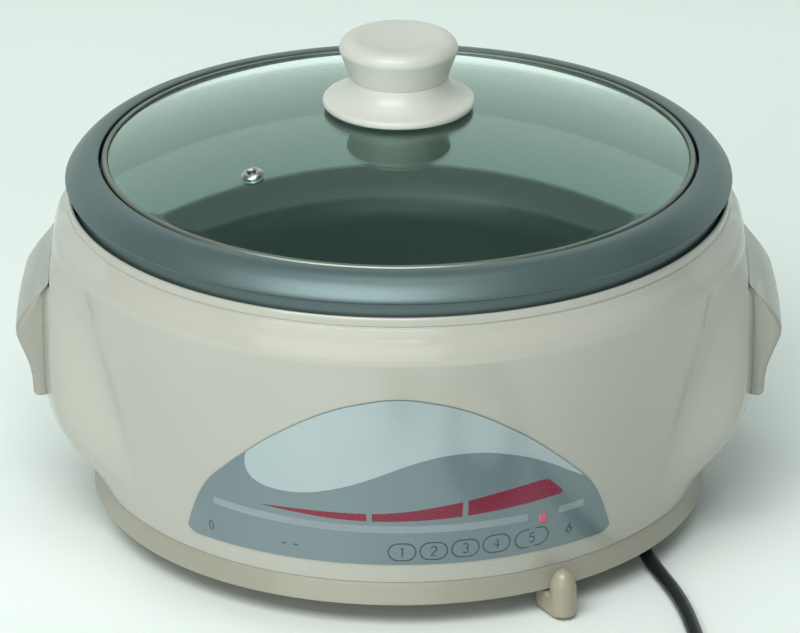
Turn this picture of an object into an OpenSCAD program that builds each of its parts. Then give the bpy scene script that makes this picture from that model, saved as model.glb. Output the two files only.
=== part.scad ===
// Electric hot pot with a lift-off glass lid, a lift-out pot and a sliding temperature lever.
// Millimetres. +Z is up, the front (panel side) faces -Y, and z = 0 is the table.

/* [Housing] */
// Radius of the housing at the top of the front wall
front_top_r = 162.3; // [160:0.1:164]
// Radius of the housing at the foot of the front wall
front_low_r = 143.8; // [142:0.1:146]
// Widest radius of the housing's cheeks, under the handles
cheek_r = 171.5; // [169:0.1:172]
// Wall thickness of the housing
wall = 2.8; // [2.2:0.1:3.4]

/* [Base] */
// Clearance between the table and the base
base_z = 12.6; // [12:0.1:14]
// Radius of the base band's lower edge
base_r = 146.9; // [145:0.1:149]

/* [Pot] */
// Height of the pot's rim above the table
rim_z = 178.2; // [177:0.1:180]
// Thickness of the pot's floor
pot_floor_t = 4; // [3:0.5:5]

/* [Lid] */
// Outer radius of the lid's steel rim
lid_r = 140; // [139.5:0.1:140.3]
// Height of the top of the glass above the table
glass_top_z = 203; // [202.8:0.1:203.2]
// Radius of the knob's cap
knob_r = 27.85; // [26:0.05:30]

/* [Handles] */
// Largest distance of a handle from the pot's axis
handle_x = 181; // [179:0.5:184]

/* [Lever] */
// Angle of the lever from straight ahead, towards the right
lever_a = 29.8; // [28:0.1:32]

/* [Cord] */
// Diameter of the mains lead
cord_d = 7; // [6:0.5:7.5]

/* [Hidden] */
$fn = 72;
beige = [0.74, 0.71, 0.64];
beige_dark = [0.64, 0.62, 0.55];
grey = [0.36, 0.42, 0.43];
steel = [0.78, 0.78, 0.76];
black = [0.06, 0.07, 0.07];
ivory = [0.88, 0.86, 0.82];
base_top = 22.8;

function lerp(a, b, t) = a + (b - a) * t;
function clamp01(t) = min(1, max(0, t));
function smooth(t) = let (c = clamp01(t)) c * c * (3 - 2 * c);
// piecewise straight look-up in a list of [x, y]
function look(v, x, i = 0) = x <= v[0][0] ? v[0][1] : i >= len(v) - 1 ? v[len(v) - 1][1]
    : x <= v[i + 1][0] ? lerp(v[i][1], v[i + 1][1], (x - v[i][0]) / (v[i + 1][0] - v[i][0]))
    : look(v, x, i + 1);
// places its children at angle a from straight ahead, distance r from the axis
module at(a, r, z = 0) { translate([r * sin(a), -r * cos(a), z]) rotate([0, 0, a]) children(); }
module ring(r0, r1, z0, z1) {
    translate([0, 0, z0]) difference() {
        cylinder(r = r1, h = z1 - z0);
        translate([0, 0, -1]) cylinder(r = r0, h = z1 - z0 + 2);
    }
}

// ---------------------------------------------------------------- lid
glass_rad = 379.3;
glass_cz = glass_top_z - glass_rad;
glass_t = 4;
vent_a = -47;
vent_r = 92;
vent_tilt = asin(vent_r / glass_rad);
function glass_z(r) = glass_cz + sqrt(glass_rad * glass_rad - r * r);

module vent_frame() {
    rotate([0, 0, vent_a]) translate([0, 0, glass_cz]) rotate([vent_tilt, 0, 0]) translate([0, 0, glass_rad]) children();
}

module lid_glass() {
    color([0.6, 0.75, 0.72, 0.4]) difference() {
        intersection() {
            translate([0, 0, glass_cz]) sphere(r = glass_rad, $fn = 200);
            cylinder(r = 138, h = 240);
        }
        translate([0, 0, glass_cz]) sphere(r = glass_rad - glass_t, $fn = 200);
        translate([0, 0, 190]) cylinder(r = 4.5, h = 30);
        vent_frame() translate([0, 0, -8]) cylinder(r = 3.1, h = 16);
    }
}

module lid_rim() {
    color(steel) rotate_extrude($fn = 120) polygon([
        [136.4, 171.9], [139.4, 171.9], [139.9, 172.4], [lid_r, 173.2], [lid_r, 177.0], [139.7, 177.8],
        [139.1, 178.1], [137.6, 178.1], [137.4, 177.9], [137.4, 177.4], [137.6, 177.3],
        [138.6, 177.3], [139.1, 176.8], [139.1, 173.1], [138.7, 172.6], [136.4, 172.5]]);
}

module steam_eyelet() {
    color(steel) vent_frame() rotate_extrude($fn = 48) polygon([
        [2.0, -5.0], [4.4, -5.0], [4.6, -4.7], [4.2, -4.3], [3.0, -4.2], [3.0, 0.1], [5.0, 0.1],
        [5.1, 0.35], [4.6, 0.9], [3.8, 1.35], [2.9, 1.5], [2.2, 1.3], [2.0, 0.9]]);
}

module knob_base() {
    color(ivory) rotate_extrude($fn = 96) polygon([
        [4.5, 203.9], [30.0, 203.9], [32.0, 202.4], [34.6, 202.4], [35.4, 203.1], [35.72, 204.3],
        [35.5, 205.4], [34.8, 206.2], [33.6, 206.6], [31.0, 207.4], [28.5, 208.6], [26.4, 210.2],
        [24.8, 212.0], [23.8, 213.9], [23.2, 215.6], [22.9, 216.6], [14.0, 216.6], [14.0, 208.5], [4.5, 208.5]]);
}

module knob_grip() {
    color(ivory) difference() {
        rotate_extrude($fn = 96) polygon([
            [0, 208.6], [13.7, 208.6], [13.7, 216.7], [22.9, 216.7], [27.3, 228.6], [27.75, 229.4], [knob_r, 230.4],
            [27.5, 232.0], [26.6, 233.6], [25.2, 234.9], [23.4, 235.8], [21.4, 236.0], [19.4, 235.6],
            [16.0, 234.7], [12.0, 234.0], [7.0, 233.5], [0, 233.3]]);
        translate([0, 0, 208]) cylinder(r = 4.05, h = 16);
    }
}

module knob_insert() {
    color([0.8, 0.65, 0.3]) difference() {
        translate([0, 0, 208.7]) cylinder(r = 4, h = 13);
        translate([0, 0, 208]) cylinder(r = 2.55, h = 16);
    }
}

module knob_gasket() {
    color([0.85, 0.85, 0.83]) rotate_extrude($fn = 64) polygon([
        [2.6, 198.2], [4.3, 198.2], [4.3, 203.1], [12.0, 203.05], [12.0, 203.85], [2.6, 203.85]]);
}

module knob_washer() {
    color(steel) rotate_extrude($fn = 64) polygon([
        [2.7, 196.9], [10.5, 197.4], [10.5, 198.3], [9, 198.6], [4.4, 198.6], [4.4, 198.1], [2.7, 198.1]]);
}

module knob_screw() {
    color(steel) difference() {
        union() {
            translate([0, 0, 196.85]) cylinder(r = 2.5, h = 21);
            rotate_extrude($fn = 48) polygon([[0, 193.6], [2.6, 193.8], [4.1, 194.8], [4.6, 196.85], [0, 196.85]]);
        }
        translate([-3, -0.45, 193]) cube([6, 0.9, 2]);
        translate([-0.45, -3, 193]) cube([0.9, 6, 2]);
    }
}

// ---------------------------------------------------------------- pot
pot_bottom = 90;
pot_in = pot_bottom + pot_floor_t;
module inner_pot() {
    fillet_n = 8;
    color(grey) rotate_extrude($fn = 120) polygon(concat(
        [[0, pot_in], [112, pot_in]],
        [for (i = [1:fillet_n]) let (a = 84 * i / fillet_n) [112 + 20 * sin(a), pot_in + 20 - 20 * cos(a)]],
        [[136.0, 170.9], [136.4, 171.8], [141.0, 171.8], [141.4, 172.2], [141.4, rim_z - 0.5], [141.8, rim_z]],
        [[143.5, rim_z + 0.1], [146.5, rim_z - 0.3], [149.6, rim_z - 1.6], [152.2, rim_z - 3.5], [154.4, rim_z - 5.8],
         [156.2, rim_z - 8.0], [157.1, rim_z - 9.2], [157.3, rim_z - 10.0], [156.9, rim_z - 10.7], [156.2, rim_z - 11.0]],
        [[154.9, rim_z - 11.0], [154.4, rim_z - 11.5], [154.4, rim_z - 12.2], [153.2, rim_z - 12.8], [153.2, 157.6], [152.7, 157.0], [151.5, 157.0], [151.0, 157.6],
         [151.0, 168.5], [149.0, 171.3], [146.5, 173.2], [144.4, 173.4], [143.6, 172.4], [143.4, 170.6], [142.4, 169.2],
         [140.0, 168.6], [139.2, 167.6]],
        [for (i = [0:fillet_n]) let (a = 84 * (1 - i / fillet_n)) [112 + 23.6 * sin(a), pot_in + 20 - 24 * cos(a)]],
        [[0, pot_bottom]]));
}

// ---------------------------------------------------------------- housing
scoop_x = 146;
screw_z = [84, 112];
screw_y = 28;
collar_top = 160;
// front wall, straight; cheek, bulging under the handles
function front_r(z) = lerp(front_low_r, front_top_r, clamp01((z - base_top) / (139 - base_top)));
cheek_v = [[22.8, 144.6], [28, 147.0], [34, 150.0], [42, 156.0], [52, 163.6], [60, cheek_r - 3.6], [68, cheek_r - 1.2],
           [78, cheek_r], [112, cheek_r], [120, 170.9], [126, 169.6], [130, 168.2], [135, 166.0], [139, 164.3]];
collar_v = [[139, front_top_r], [143.5, front_top_r - 0.6], [148, 160.0], [152, 157.9], [154.5, 156.8], [156.5, 156.5],
            [159.2, 156.4], [collar_top, 155.9]];
// where the cheek takes over from the front wall, in degrees from straight ahead or behind
function turn_a(z) = lerp(61, 69, clamp01((z - 33) / 85));
// the side under and above the handle is nearly flat: a circle of radius far_r + flat_x(z) about a point far_r behind the axis
far_r = 600;
function flat_x(z) = z < 126 ? 164.9 + (126 - z) * 0.8 : lerp(164.9, 163.5, (z - 126) / 13);
function flat_r(a, x) = -far_r * sin(a) + sqrt(pow(far_r * sin(a), 2) + pow(far_r + x, 2) - far_r * far_r);
function low_r(a, z) =
    let (w = smooth((a - turn_a(z) + 6.5) / 13), r = lerp(front_r(z), look(cheek_v, z), w),
         q = a > 60 ? min(r, flat_r(a, flat_x(z))) : r,
         s = smooth((a - 76.2) / 1.4) * smooth((126 - z) / 5))
      lerp(q, min(q, scoop_x / sin(a)), s);
function skin_r(a, z) = // a: degrees from +/-Y towards +/-X, 0 to 90
    z < 139 ? low_r(a, z) : look(collar_v, z) + (low_r(a, 139) - front_top_r) * (1 - smooth((z - 147) / 9.5));
out_z = [base_top, 28, 34, 42, 50, 58, 66, 76, 88, 100, 110, 118, 121, 122, 123, 124, 125, 126, 130, 135, 139, 141, 143.5, 146, 148, 150, 152, 154.5, 156.5, 159.2, 160];
in_z = [158, 155, 151, 147, 142, 138, 133, 127.5, 122, 112, 98, 84, 70, 58, 46, 36, 30];
quad = [0, 7, 14, 21, 28, 35, 42, 48, 53, 57, 61, 65, 68.5, 72, 75, 76.2, 77.6, 81, 85.5, 90];
azs = concat(quad, [for (i = [len(quad) - 2:-1:0]) 180 - quad[i]], [for (i = [1:len(quad) - 1]) 180 + quad[i]],
             [for (i = [len(quad) - 2:-1:1]) 360 - quad[i]]);
function fold(a) = let (b = a > 180 ? 360 - a : a) b > 90 ? 180 - b : b;
function skin_pt(a, r, z) = [r * sin(a), -r * cos(a), z];
module housing() {
    no = len(out_z);
    ni = len(in_z);
    n = no + ni + 4;
    pts = [for (a = azs) let (f = fold(a)) each concat(
        [for (z = out_z) skin_pt(a, skin_r(f, z), z)],
        [skin_pt(a, 154.8, collar_top), skin_pt(a, 154.6, collar_top - 0.6)],
        [for (z = in_z) skin_pt(a, z > 150 ? 154.6 : skin_r(f, z) - wall * (z < 70 ? 1.25 : 1.06), z)],
        [skin_pt(a, 126, 27), skin_pt(a, 126, base_top)])];
    m = len(azs);
    color(beige) difference() {
        polyhedron(points = pts, faces = [for (i = [0:m - 1]) let (j = (i + 1) % m) for (k = [0:n - 1]) let (l = (k + 1) % n)
        each [[i * n + k, i * n + l, j * n + l], [i * n + k, j * n + l, j * n + k]]], convexity = 8);
        for (m = [0, 1], s = [-1, 1], z = screw_z) mirror([m, 0, 0]) translate([138, s * screw_y, z]) rotate([0, 90, 0]) cylinder(r = 1.7, h = 14);
        at(lamp_a, 0, lamp_z) rotate([90, 0, 0]) translate([0, 0, 139]) cylinder(r = 2.45, h = 14);
    }
}

// ---------------------------------------------------------------- handles
// the hood turns about a far axis, so its outer face bows a little from end to end
hood_c = handle_x - 181 - far_r;
hood_a = 3.09;
hood_v = [[165.5, 127.6], [166.8, 126.0], [168.8, 123.4], [171.2, 120.6], [173.4, 118.0], [176.2, 114.4], [178.6, 110.8],
          [180.3, 107.6], [181.0, 104.6], [180.9, 101.6], [180.0, 98.4], [178.7, 95.0], [177.1, 91.0], [175.8, 87.4], [174.7, 83.4],
          [174.1, 79.8], [173.7, 75.0], [173.5, 72.4], [172.8, 71.0], [171.4, 70.4]];
function shift_x(v) = [for (p = v) [p[0] + (handle_x - 181) - hood_c, p[1]]];
module hood_turn(a, v) { translate([hood_c, 0, 0]) rotate([0, 0, -a]) rotate_extrude(angle = 2 * a, $fn = 120) polygon(shift_x(v)); }
module handle() {
    difference() {
        hood_turn(hood_a, concat(hood_v, [[scoop_x - 2, 70.4], [scoop_x - 2, 120.4], [148.0, 121.4], [152.0, 122.2], [156.0, 123.0], [160.0, 123.9], [163.7, 124.8], [165.4, 126.0]]));
        intersection() {
            hood_turn(hood_a - 0.22, [[scoop_x + 4.6, 60], [170.4, 60], [170.4, 73.0], [170.6, 78.0], [171.4, 82.4], [172.6, 86.6], [174.0, 90.6],
                                     [175.6, 94.6], [177.0, 99.0], [177.5, 103.0], [177.1, 106.0], [176.2, 109.0], [174.4, 112.6],
                                     [171.6, 116.0], [168.6, 118.4], [165.0, 119.9], [scoop_x + 4.6, 120.0]]);
            translate([0, 0, 50]) linear_extrude(height = 100)
                polygon([[150, -29.8], [167, -37.4], [185, -38.8], [185, 38.8], [167, 37.4], [150, 29.8]]);
        }
        // the back narrows to fit the recess in the housing
        for (s = [0, 1]) mirror([0, s, 0]) translate([0, 0, 60]) linear_extrude(height = 90)
            polygon([[140, 29.6], [scoop_x - 2, 30.1], [167.2, 40.5], [168.0, 50], [140, 50]]);
        for (s = [0, 1]) mirror([0, s, 0]) translate([0, 0, 121.8]) linear_extrude(height = 4.4)
            polygon([[140, 29.6], [scoop_x, 29.8], [156, 33.2], [165.6, 37.6], [166.4, 50], [140, 50]]);
        translate([scoop_x - 6, -60, 60]) cube([6.6, 120, 90]);
        for (s = [-1, 1], z = screw_z) translate([140, s * screw_y, z]) rotate([0, 90, 0]) cylinder(r = 1.3, h = 20);
    }
}
module handle_right() { color(beige) handle(); }
module handle_left() { color(beige) mirror([1, 0, 0]) handle(); }
module handle_screws() {
    color(steel) for (m = [0, 1], s = [-1, 1], z = screw_z) mirror([m, 0, 0]) translate([0, s * screw_y, z]) rotate([0, 90, 0]) {
        translate([0, 0, scoop_x - 3.2]) cylinder(r = 1.4, h = 7.6);
        translate([0, 0, scoop_x - 5.75]) difference() {
            cylinder(r = 3.2, h = 2.6);
            translate([-2.4, -0.4, -0.5]) cube([4.8, 0.8, 1.5]);
        }
    }
}

// ---------------------------------------------------------------- control panel
panel_lo = 33;
panel_hi = 122;
panel_arc = 111;
panel_v = [[0, panel_hi], [12, panel_hi - 1.6], [21.5, 117.9], [30, 114.6], [39.5, 109.6], [49, 103.6], [59, 96.6], [70, 87.6], [83, 76.2], [94, 65.6],
           [100, 57.4], [105.5, 47.6], [109, 40.4], [panel_arc, 36]];
function panel_edge(u) = look(panel_v, abs(u) * panel_arc);
module panel_shape() {
    n = 40;
    polygon(concat(
        [for (i = [-n:n]) let (u = i / n, z = panel_edge(u)) [front_r(z) * sin(u * panel_arc / 152 * 57.2958), max(z, panel_lo + 2.5)]],
        [for (i = [n:-2:-n]) let (u = i / n) [front_r(panel_lo) * sin(u * panel_arc / 152 * 57.2958) * 0.992, panel_lo]]));
}
lamp_a = 26.4;
lamp_z = 51;
module panel_shell(t0, t1) {
    rotate([0, 0, 180]) rotate_extrude($fn = 160) polygon([
        [front_r(panel_lo - 4) + t0, panel_lo - 4], [front_r(panel_lo - 4) + t1, panel_lo - 4],
        [front_r(panel_hi + 4) + t1, panel_hi + 4], [front_r(panel_hi + 4) + t0, panel_hi + 4]]);
}
module control_panel() {
    color([0.62, 0.7, 0.72]) difference() {
        intersection() {
            panel_shell(0.1, 0.5);
            translate([0, -100, 0]) rotate([90, 0, 0]) linear_extrude(height = 80) panel_shape();
        }
        at(lamp_a, 140, lamp_z) rotate([90, 0, 0]) cylinder(r = 2.45, h = 20);
    }
}
module lamp_lens() {
    color([0.85, 0.4, 0.5, 0.7]) at(lamp_a, 0, lamp_z) rotate([90, 0, 0]) {
        translate([0, 0, 143.4]) cylinder(r = 2.4, h = 5.7);
        translate([0, 0, 142.4]) cylinder(r = 3.4, h = 1.2);
    }
}
module neon_lamp() {
    color([0.9, 0.6, 0.5]) at(lamp_a, 0, lamp_z) rotate([90, 0, 0]) {
        translate([0, 0, 130]) cylinder(r = 2.2, h = 9.9);
        translate([0, 0, 139.9]) sphere(r = 2.2, $fn = 32);
        translate([0, 0, 125]) cylinder(r = 3.2, h = 6);
    }
}

// ---------------------------------------------------------------- base
pocket_x0 = 95;
pocket_x1 = 126;
pocket_y0 = -80;
pocket_y1 = 8;
pocket_top = 28.4;
pocket_low_top = 19.7;
foot_a = [50, 130, -130, -50];
screw_a = [14, 100, 166, -166, -100, -14];
// the open-bottomed pocket that the mains lead leaves through
module pocket_space() {
    intersection() {
        translate([pocket_x0, pocket_y0, 0]) cube([pocket_x1 - pocket_x0, pocket_y1 - pocket_y0, pocket_top]);
        cylinder(r = 122.8, h = 60);
    }
    intersection() {
        translate([pocket_x0, pocket_y0, 0]) cube([pocket_x1 - pocket_x0, pocket_y1 - pocket_y0, pocket_low_top]);
        cylinder(r = 140.4, h = 60);
    }
}
module base() {
    color(beige_dark) difference() {
        union() {
            difference() {
                rotate_extrude($fn = 120) polygon([
                    [0, base_z], [base_r - 0.6, base_z], [base_r, base_z + 0.6], [base_r - 0.5, base_z + 2.4],
                    [front_low_r + 0.7, base_top - 1.6], [front_low_r, base_top], [141.0, base_top], [141.8, base_z + 2.6],
                    [0, base_z + 2.6]]);
                pocket_space();
            }
            difference() {
                union() {
                    intersection() {
                        translate([pocket_x0 - 2.2, pocket_y0 - 2.2, base_z]) cube([pocket_x1 - pocket_x0 + 4.4, pocket_y1 - pocket_y0 + 4.8, pocket_top + 2.2 - base_z]);
                        cylinder(r = 125, h = 60);
                    }
                    intersection() {
                        translate([pocket_x0 - 2.2, pocket_y0 - 2.2, base_z]) cube([pocket_x1 - pocket_x0 + 4.4, pocket_y1 - pocket_y0 + 4.8, 21.9 - base_z]);
                        cylinder(r = 141.2, h = 60);
                    }
                }
                pocket_space();
            }
            for (a = screw_a) at(a, 133, base_z) cylinder(r = 4.5, h = base_top - base_z - 0.1);
            for (a = foot_a) at(a, 116, 5) cylinder(r = 8.5, h = 8);
            for (a = [0:90:359]) at(a + 45, 52, base_z) cylinder(r = 4.5, h = 12);
        }
        translate([0, 0, 5]) cylinder(r = 4.2, h = 20);
        for (a = screw_a) at(a, 133, 0) {
            translate([0, 0, 5]) cylinder(r = 1.8, h = 30);
            translate([0, 0, 5]) cylinder(r = 3.5, h = 10.6);
        }
        for (a = foot_a) at(a, 116, 3) cylinder(r = 1.2, h = 14);
        for (a = [0:90:359]) at(a + 45, 52, 16) cylinder(r = 1.5, h = 12);
        for (a = [0:30:359]) at(a + 15, 78, 5) translate([-2.5, -12, 0]) cube([5, 24, 20]);
        translate([gland_x, pocket_y1 + 10, gland_z]) rotate([90, 0, 0]) cylinder(r = 4.6, h = 20);
    }
}
module base_screws() {
    color(steel) for (a = screw_a) at(a, 133) {
        translate([0, 0, 15.4]) cylinder(r = 1.6, h = 10.8);
        translate([0, 0, 13.2]) difference() {
            cylinder(r = 3.1, h = 2.3);
            translate([-2.4, -0.4, -0.5]) cube([4.8, 0.8, 1.4]);
            translate([-0.4, -2.4, -0.5]) cube([0.8, 4.8, 1.4]);
        }
    }
}
module feet() {
    color(black) for (a = foot_a) at(a, 116) difference() {
        rotate_extrude($fn = 48) polygon([[0, 0], [8.4, 0], [9.0, 0.6], [9.6, 4.6], [9.4, 5], [0, 5]]);
        translate([0, 0, -1]) cylinder(r = 3.1, h = 3.4);
        translate([0, 0, -1]) cylinder(r = 1.5, h = 8);
    }
}
module foot_screws() {
    color(steel) for (a = foot_a) at(a, 116) {
        translate([0, 0, 2.3]) cylinder(r = 1.35, h = 11.7);
        translate([0, 0, 0.8]) cylinder(r = 2.9, h = 1.55);
    }
}

// ---------------------------------------------------------------- heating
plate_z0 = 74;
module heating_plate() {
    color([0.7, 0.7, 0.7]) difference() {
        union() {
            rotate_extrude($fn = 96) polygon([[0, 80], [92, 80], [94, 81], [94, 88.6], [92.6, 89.9], [0, 89.9]]);
            rotate_extrude($fn = 96) polygon([[62, plate_z0], [80, plate_z0], [82, 80.1], [60, 80.1]]);
            for (a = [0:120:359]) at(a + 20, 40, 70) cylinder(r = 5.5, h = 10.5);
            translate([0, 0, 77.5]) cylinder(r = 16, h = 3);
        }
        for (a = [0:120:359]) at(a + 20, 40, 65) cylinder(r = 1.9, h = 13);
        rotate_extrude($fn = 96) translate([71, 77.2]) circle(r = 3.6, $fn = 32);
    }
}
module heating_tube() {
    color([0.5, 0.5, 0.52]) {
        rotate([0, 0, 110]) rotate_extrude(angle = 320, $fn = 96) translate([71, 77.2]) circle(r = 3.55, $fn = 32);
        for (s = [-1, 1]) rotate([0, 0, 90 + s * 20.0]) translate([71, 0, 0]) {
            translate([0, 0, 60]) cylinder(r = 3.3, h = 13.95);
            translate([0, 0, 53]) cylinder(r = 1.4, h = 7);
        }
    }
}
module plate_posts() {
    color(steel) for (a = [0:120:359]) at(a + 20, 40) {
        translate([0, 0, 43.2]) cylinder(r = 3.6, h = 26.7, $fn = 6);
        translate([0, 0, 69.8]) cylinder(r = 1.8, h = 7);
        translate([0, 0, 36.4]) cylinder(r = 1.9, h = 7);
    }
}
module heat_shield() {
    color([0.75, 0.76, 0.76]) difference() {
        rotate_extrude($fn = 96) polygon([
            [14, 42.2], [92, 42.2], [97.0, 44.0], [112.0, 84.0], [121.0, 86.5], [121.0, 87.5], [111.3, 85.0], [96.2, 45.0],
            [91.6, 43.2], [14, 43.2]]);
        for (a = [0:120:359]) at(a + 20, 40, 40) cylinder(r = 2.0, h = 6);
        for (s = [-1, 1]) rotate([0, 0, 90 + s * 20.0]) translate([71, 0, 35]) cylinder(r = 6, h = 12);
        for (a = [45:90:359]) at(a, 52, 40) cylinder(r = 1.7, h = 6);
        translate([46, 70, 40]) cylinder(r = 1.6, h = 6);
    }
}
module shield_nuts() {
    color(steel) {
        for (a = [0:120:359]) at(a + 20, 40, 38.6) difference() { cylinder(r = 3.6, h = 3.5, $fn = 6); translate([0, 0, -1]) cylinder(r = 1.95, h = 6); }
        for (a = [45:90:359]) at(a, 52) {
            translate([0, 0, 24.7]) cylinder(r = 3.8, h = 17.4);
            translate([0, 0, 17]) cylinder(r = 1.45, h = 7.8);
            translate([0, 0, 42.0]) cylinder(r = 1.6, h = 1.4);
            translate([0, 0, 43.3]) cylinder(r = 3.1, h = 1.8);
        }
    }
}
module thermostat() {
    color([0.85, 0.83, 0.78]) {
        difference() {
            union() {
                translate([0, 0, 56]) cylinder(r = 12, h = 14);
                translate([-22, -6, 58]) cube([44, 12, 6]);
            }
            translate([0, 0, 55]) cylinder(r = 3.08, h = 9);
        }
        for (s = [-1, 1]) translate([s * 18 - 2.5, -3, 64]) cube([5, 6, 3]);
        for (s = [-1, 1]) translate([s * 25.5 - 3.6, -2.5, 60.4]) cube([7.2, 5, 0.9]);
    }
}
module thermostat_bracket() {
    color(steel) difference() {
        union() {
            translate([-14, -14, 76.0]) cube([28, 28, 1.4]);
            for (s = [-1, 1]) translate([-7, s * 14 - (s > 0 ? 1.4 : 0), 55]) cube([14, 1.4, 21.5]);
            for (s = [-1, 1]) translate([-7, s * 12 - (s > 0 ? 0 : 2), 54.4]) translate([0, s > 0 ? -1 : 1, 0]) cube([14, 2, 1.4]);
        }
        translate([0, 0, 75]) cylinder(r = 3, h = 4);
    }
}

// ---------------------------------------------------------------- lever
lever_z = 6.6;
cap_r = 152.4;
module lever_shaft() {
    color(steel) {
        difference() {
            translate([0, 0, 8.25]) cylinder(r = 3, h = 55.35);
            translate([0, 0, 7]) cylinder(r = 1.3, h = 12);
        }
        translate([0, 0, 8.25]) difference() { cylinder(r = 4.1, h = 8.2); translate([0, 0, -1]) cylinder(r = 2.9, h = 12); }
    }
}
module lever_arm() {
    color(steel) rotate([0, 0, lever_a]) difference() {
        union() {
            translate([0, 0, lever_z]) cylinder(r = 8, h = 1.6);
            translate([-4, -151, lever_z]) cube([8, 149, 1.6]);
            translate([-4, -152.6, lever_z]) cube([8, 1.6, 12.4]);
            translate([-1.2, -140, lever_z - 1.2]) cube([2.4, 118, 1.25]);
        }
        translate([0, 0, 0]) cylinder(r = 1.6, h = 20);
    }
}
module lever_screw() {
    color(steel) {
        translate([0, 0, 6.55]) cylinder(r = 1.28, h = 11);
        translate([0, 0, 4.4]) difference() { cylinder(r = 3.4, h = 2.15); translate([-2.6, -0.4, -0.5]) cube([5.2, 0.8, 1.3]); }
    }
}
cap_w = 6.2;
module lever_cap() {
    color(beige) rotate([0, 0, lever_a]) difference() {
        union() {
            translate([0, -cap_r, 0]) rotate_extrude($fn = 48) polygon(concat([[0, 1.6], [5.4, 1.6], [cap_w, 2.4]],
                [for (a = [0:10:80]) [cap_w * cos(a), 14.2 + 10 * sin(a)]], [[0, 24.2]]));
            translate([-cap_w, -cap_r, 2.0]) cube([2 * cap_w, 14.4, 9.4]);
        }
        translate([-7, -cap_r + 4.4, 11.4]) cube([14, 14, 30]);
        translate([-4.1, -152.75, lever_z - 0.15]) cube([8.2, 16, 1.9]);
        translate([-1.4, -152.75, lever_z - 1.35]) cube([2.8, 16, 1.4]);
        translate([-4.1, -152.75, lever_z - 0.15]) cube([8.2, 1.9, 12.8]);
    }
}

// ---------------------------------------------------------------- wiring and mains entry
module terminal_block() {
    color([0.9, 0.9, 0.86]) translate([60, 66, base_z + 2.7]) rotate([0, 0, 40]) difference() {
        union() {
            translate([-18, -7, 0]) cube([36, 14, 8]);
            for (i = [-1:1]) translate([i * 12 - 4.4, -6, 8]) cube([8.8, 12, 5]);
        }
        for (i = [-1:1]) {
            translate([i * 12, 0, 9]) cylinder(r = 2.2, h = 6);
            translate([i * 12, 10, 5]) rotate([90, 0, 0]) cylinder(r = 1.7, h = 20);
        }
    }
}
module thermal_fuse() {
    color([0.8, 0.78, 0.72]) translate([-43.1, 53.5, 52.2]) rotate([0, 90, 35]) {
        cylinder(r = 2.3, h = 14);
        translate([0, 0, -9]) cylinder(r = 0.7, h = 9.2);
        translate([0, 0, 13.8]) cylinder(r = 0.7, h = 9.2);
    }
}
// round tube through points p, n sides
function vadd(a, b) = [a[0] + b[0], a[1] + b[1], a[2] + b[2]];
function unit(v) = v / norm(v);
function tangent(p, i) = unit(p[min(i + 1, len(p) - 1)] - p[max(i - 1, 0)]);
function side(t) = abs(t[2]) > 0.95 ? unit(cross(t, [0, 1, 0])) : unit(cross(t, [0, 0, 1]));
module tube(p, d, n = 8) {
    m = len(p);
    pts = [for (i = [0:m - 1]) let (t = tangent(p, i), s = side(t), u = cross(s, t))
        for (k = [0:n - 1]) let (a = 360 * k / n) p[i] + (d / 2) * (cos(a) * s + sin(a) * u)];
    polyhedron(points = pts, faces = concat(
        [for (i = [0:m - 2], k = [0:n - 1]) let (l = (k + 1) % n) each
            [[i * n + k, (i + 1) * n + k, (i + 1) * n + l], [i * n + k, (i + 1) * n + l, i * n + l]]],
        [[for (k = [0:n - 1]) k]], [[for (k = [n - 1:-1:0]) (m - 1) * n + k]]), convexity = 4);
}
// a smooth run through hand-set points: Catmull-Rom
function cr(a, b, c, d, t) = 0.5 * ((2 * b) + (c - a) * t + (2 * a - 5 * b + 4 * c - d) * t * t + (3 * b - a - 3 * c + d) * t * t * t);
function run(p, k) = concat([for (i = [0:len(p) - 2], j = [0:k - 1])
    cr(p[max(i - 1, 0)], p[i], p[i + 1], p[min(i + 2, len(p) - 1)], j / k)], [p[len(p) - 1]]);
module wiring() {
    color([0.8, 0.2, 0.15]) tube(run([[66.6, 76.8, 20.3], [64.7, 79.1, 20.3], [61.5, 82.9, 20.8], [50, 88, 25], [36, 84, 30], [27, 73, 36], [24.3, 67.2, 43], [24.3, 66.9, 52.8]], 3), 2.4, 8);
    color([0.2, 0.3, 0.7]) tube(run([[62.2, 63.3, 20.3], [64.5, 60.6, 20.3], [67, 57, 21.5], [72, 36, 28], [78, 10, 31], [84, -18, 32], [94, -52, 36], [92, -84, 46], [72, -97, 51], [58, -102, 51], [55.3, -111.4, 51]], 2), 2.2, 8);
    color([0.9, 0.9, 0.9]) tube(run([[-51.2, 47.8, 52.2], [-52, 42, 51.4], [-50, 34, 50], [-42, 22, 49], [-33, 14, 50], [-30.5, 5, 54], [-29.6, 0.6, 59]], 3), 2.2, 8);
    color([0.85, 0.85, 0.3]) tube(run([[29.4, 0, 59.2], [27.5, 0.2, 56], [19, 1, 51], [11, 2.6, 44.5], [10, 7, 39], [13, 15, 35], [22, 30, 31], [34, 46.5, 27], [41, 46.5, 25], [48, 44, 23], [55, 45.2, 21.2], [58.6, 49.0, 20.3], [57.0, 51.0, 20.3], [53.4, 55.2, 20.3]], 2), 2.2, 8);
}
module earth_tag() {
    color([0.8, 0.7, 0.3]) difference() {
        union() {
            translate([46, 70, 43.3]) cylinder(r = 5, h = 1);
            translate([46, 66.5, 43.3]) cube([8, 7, 1]);
            translate([46, 70, 38]) cylinder(r = 2.8, h = 4.1);
            translate([46, 70, 41]) cylinder(r = 1.4, h = 6);
            translate([46, 70, 44.3]) cylinder(r = 3, h = 2);
        }
    }
}
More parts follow.
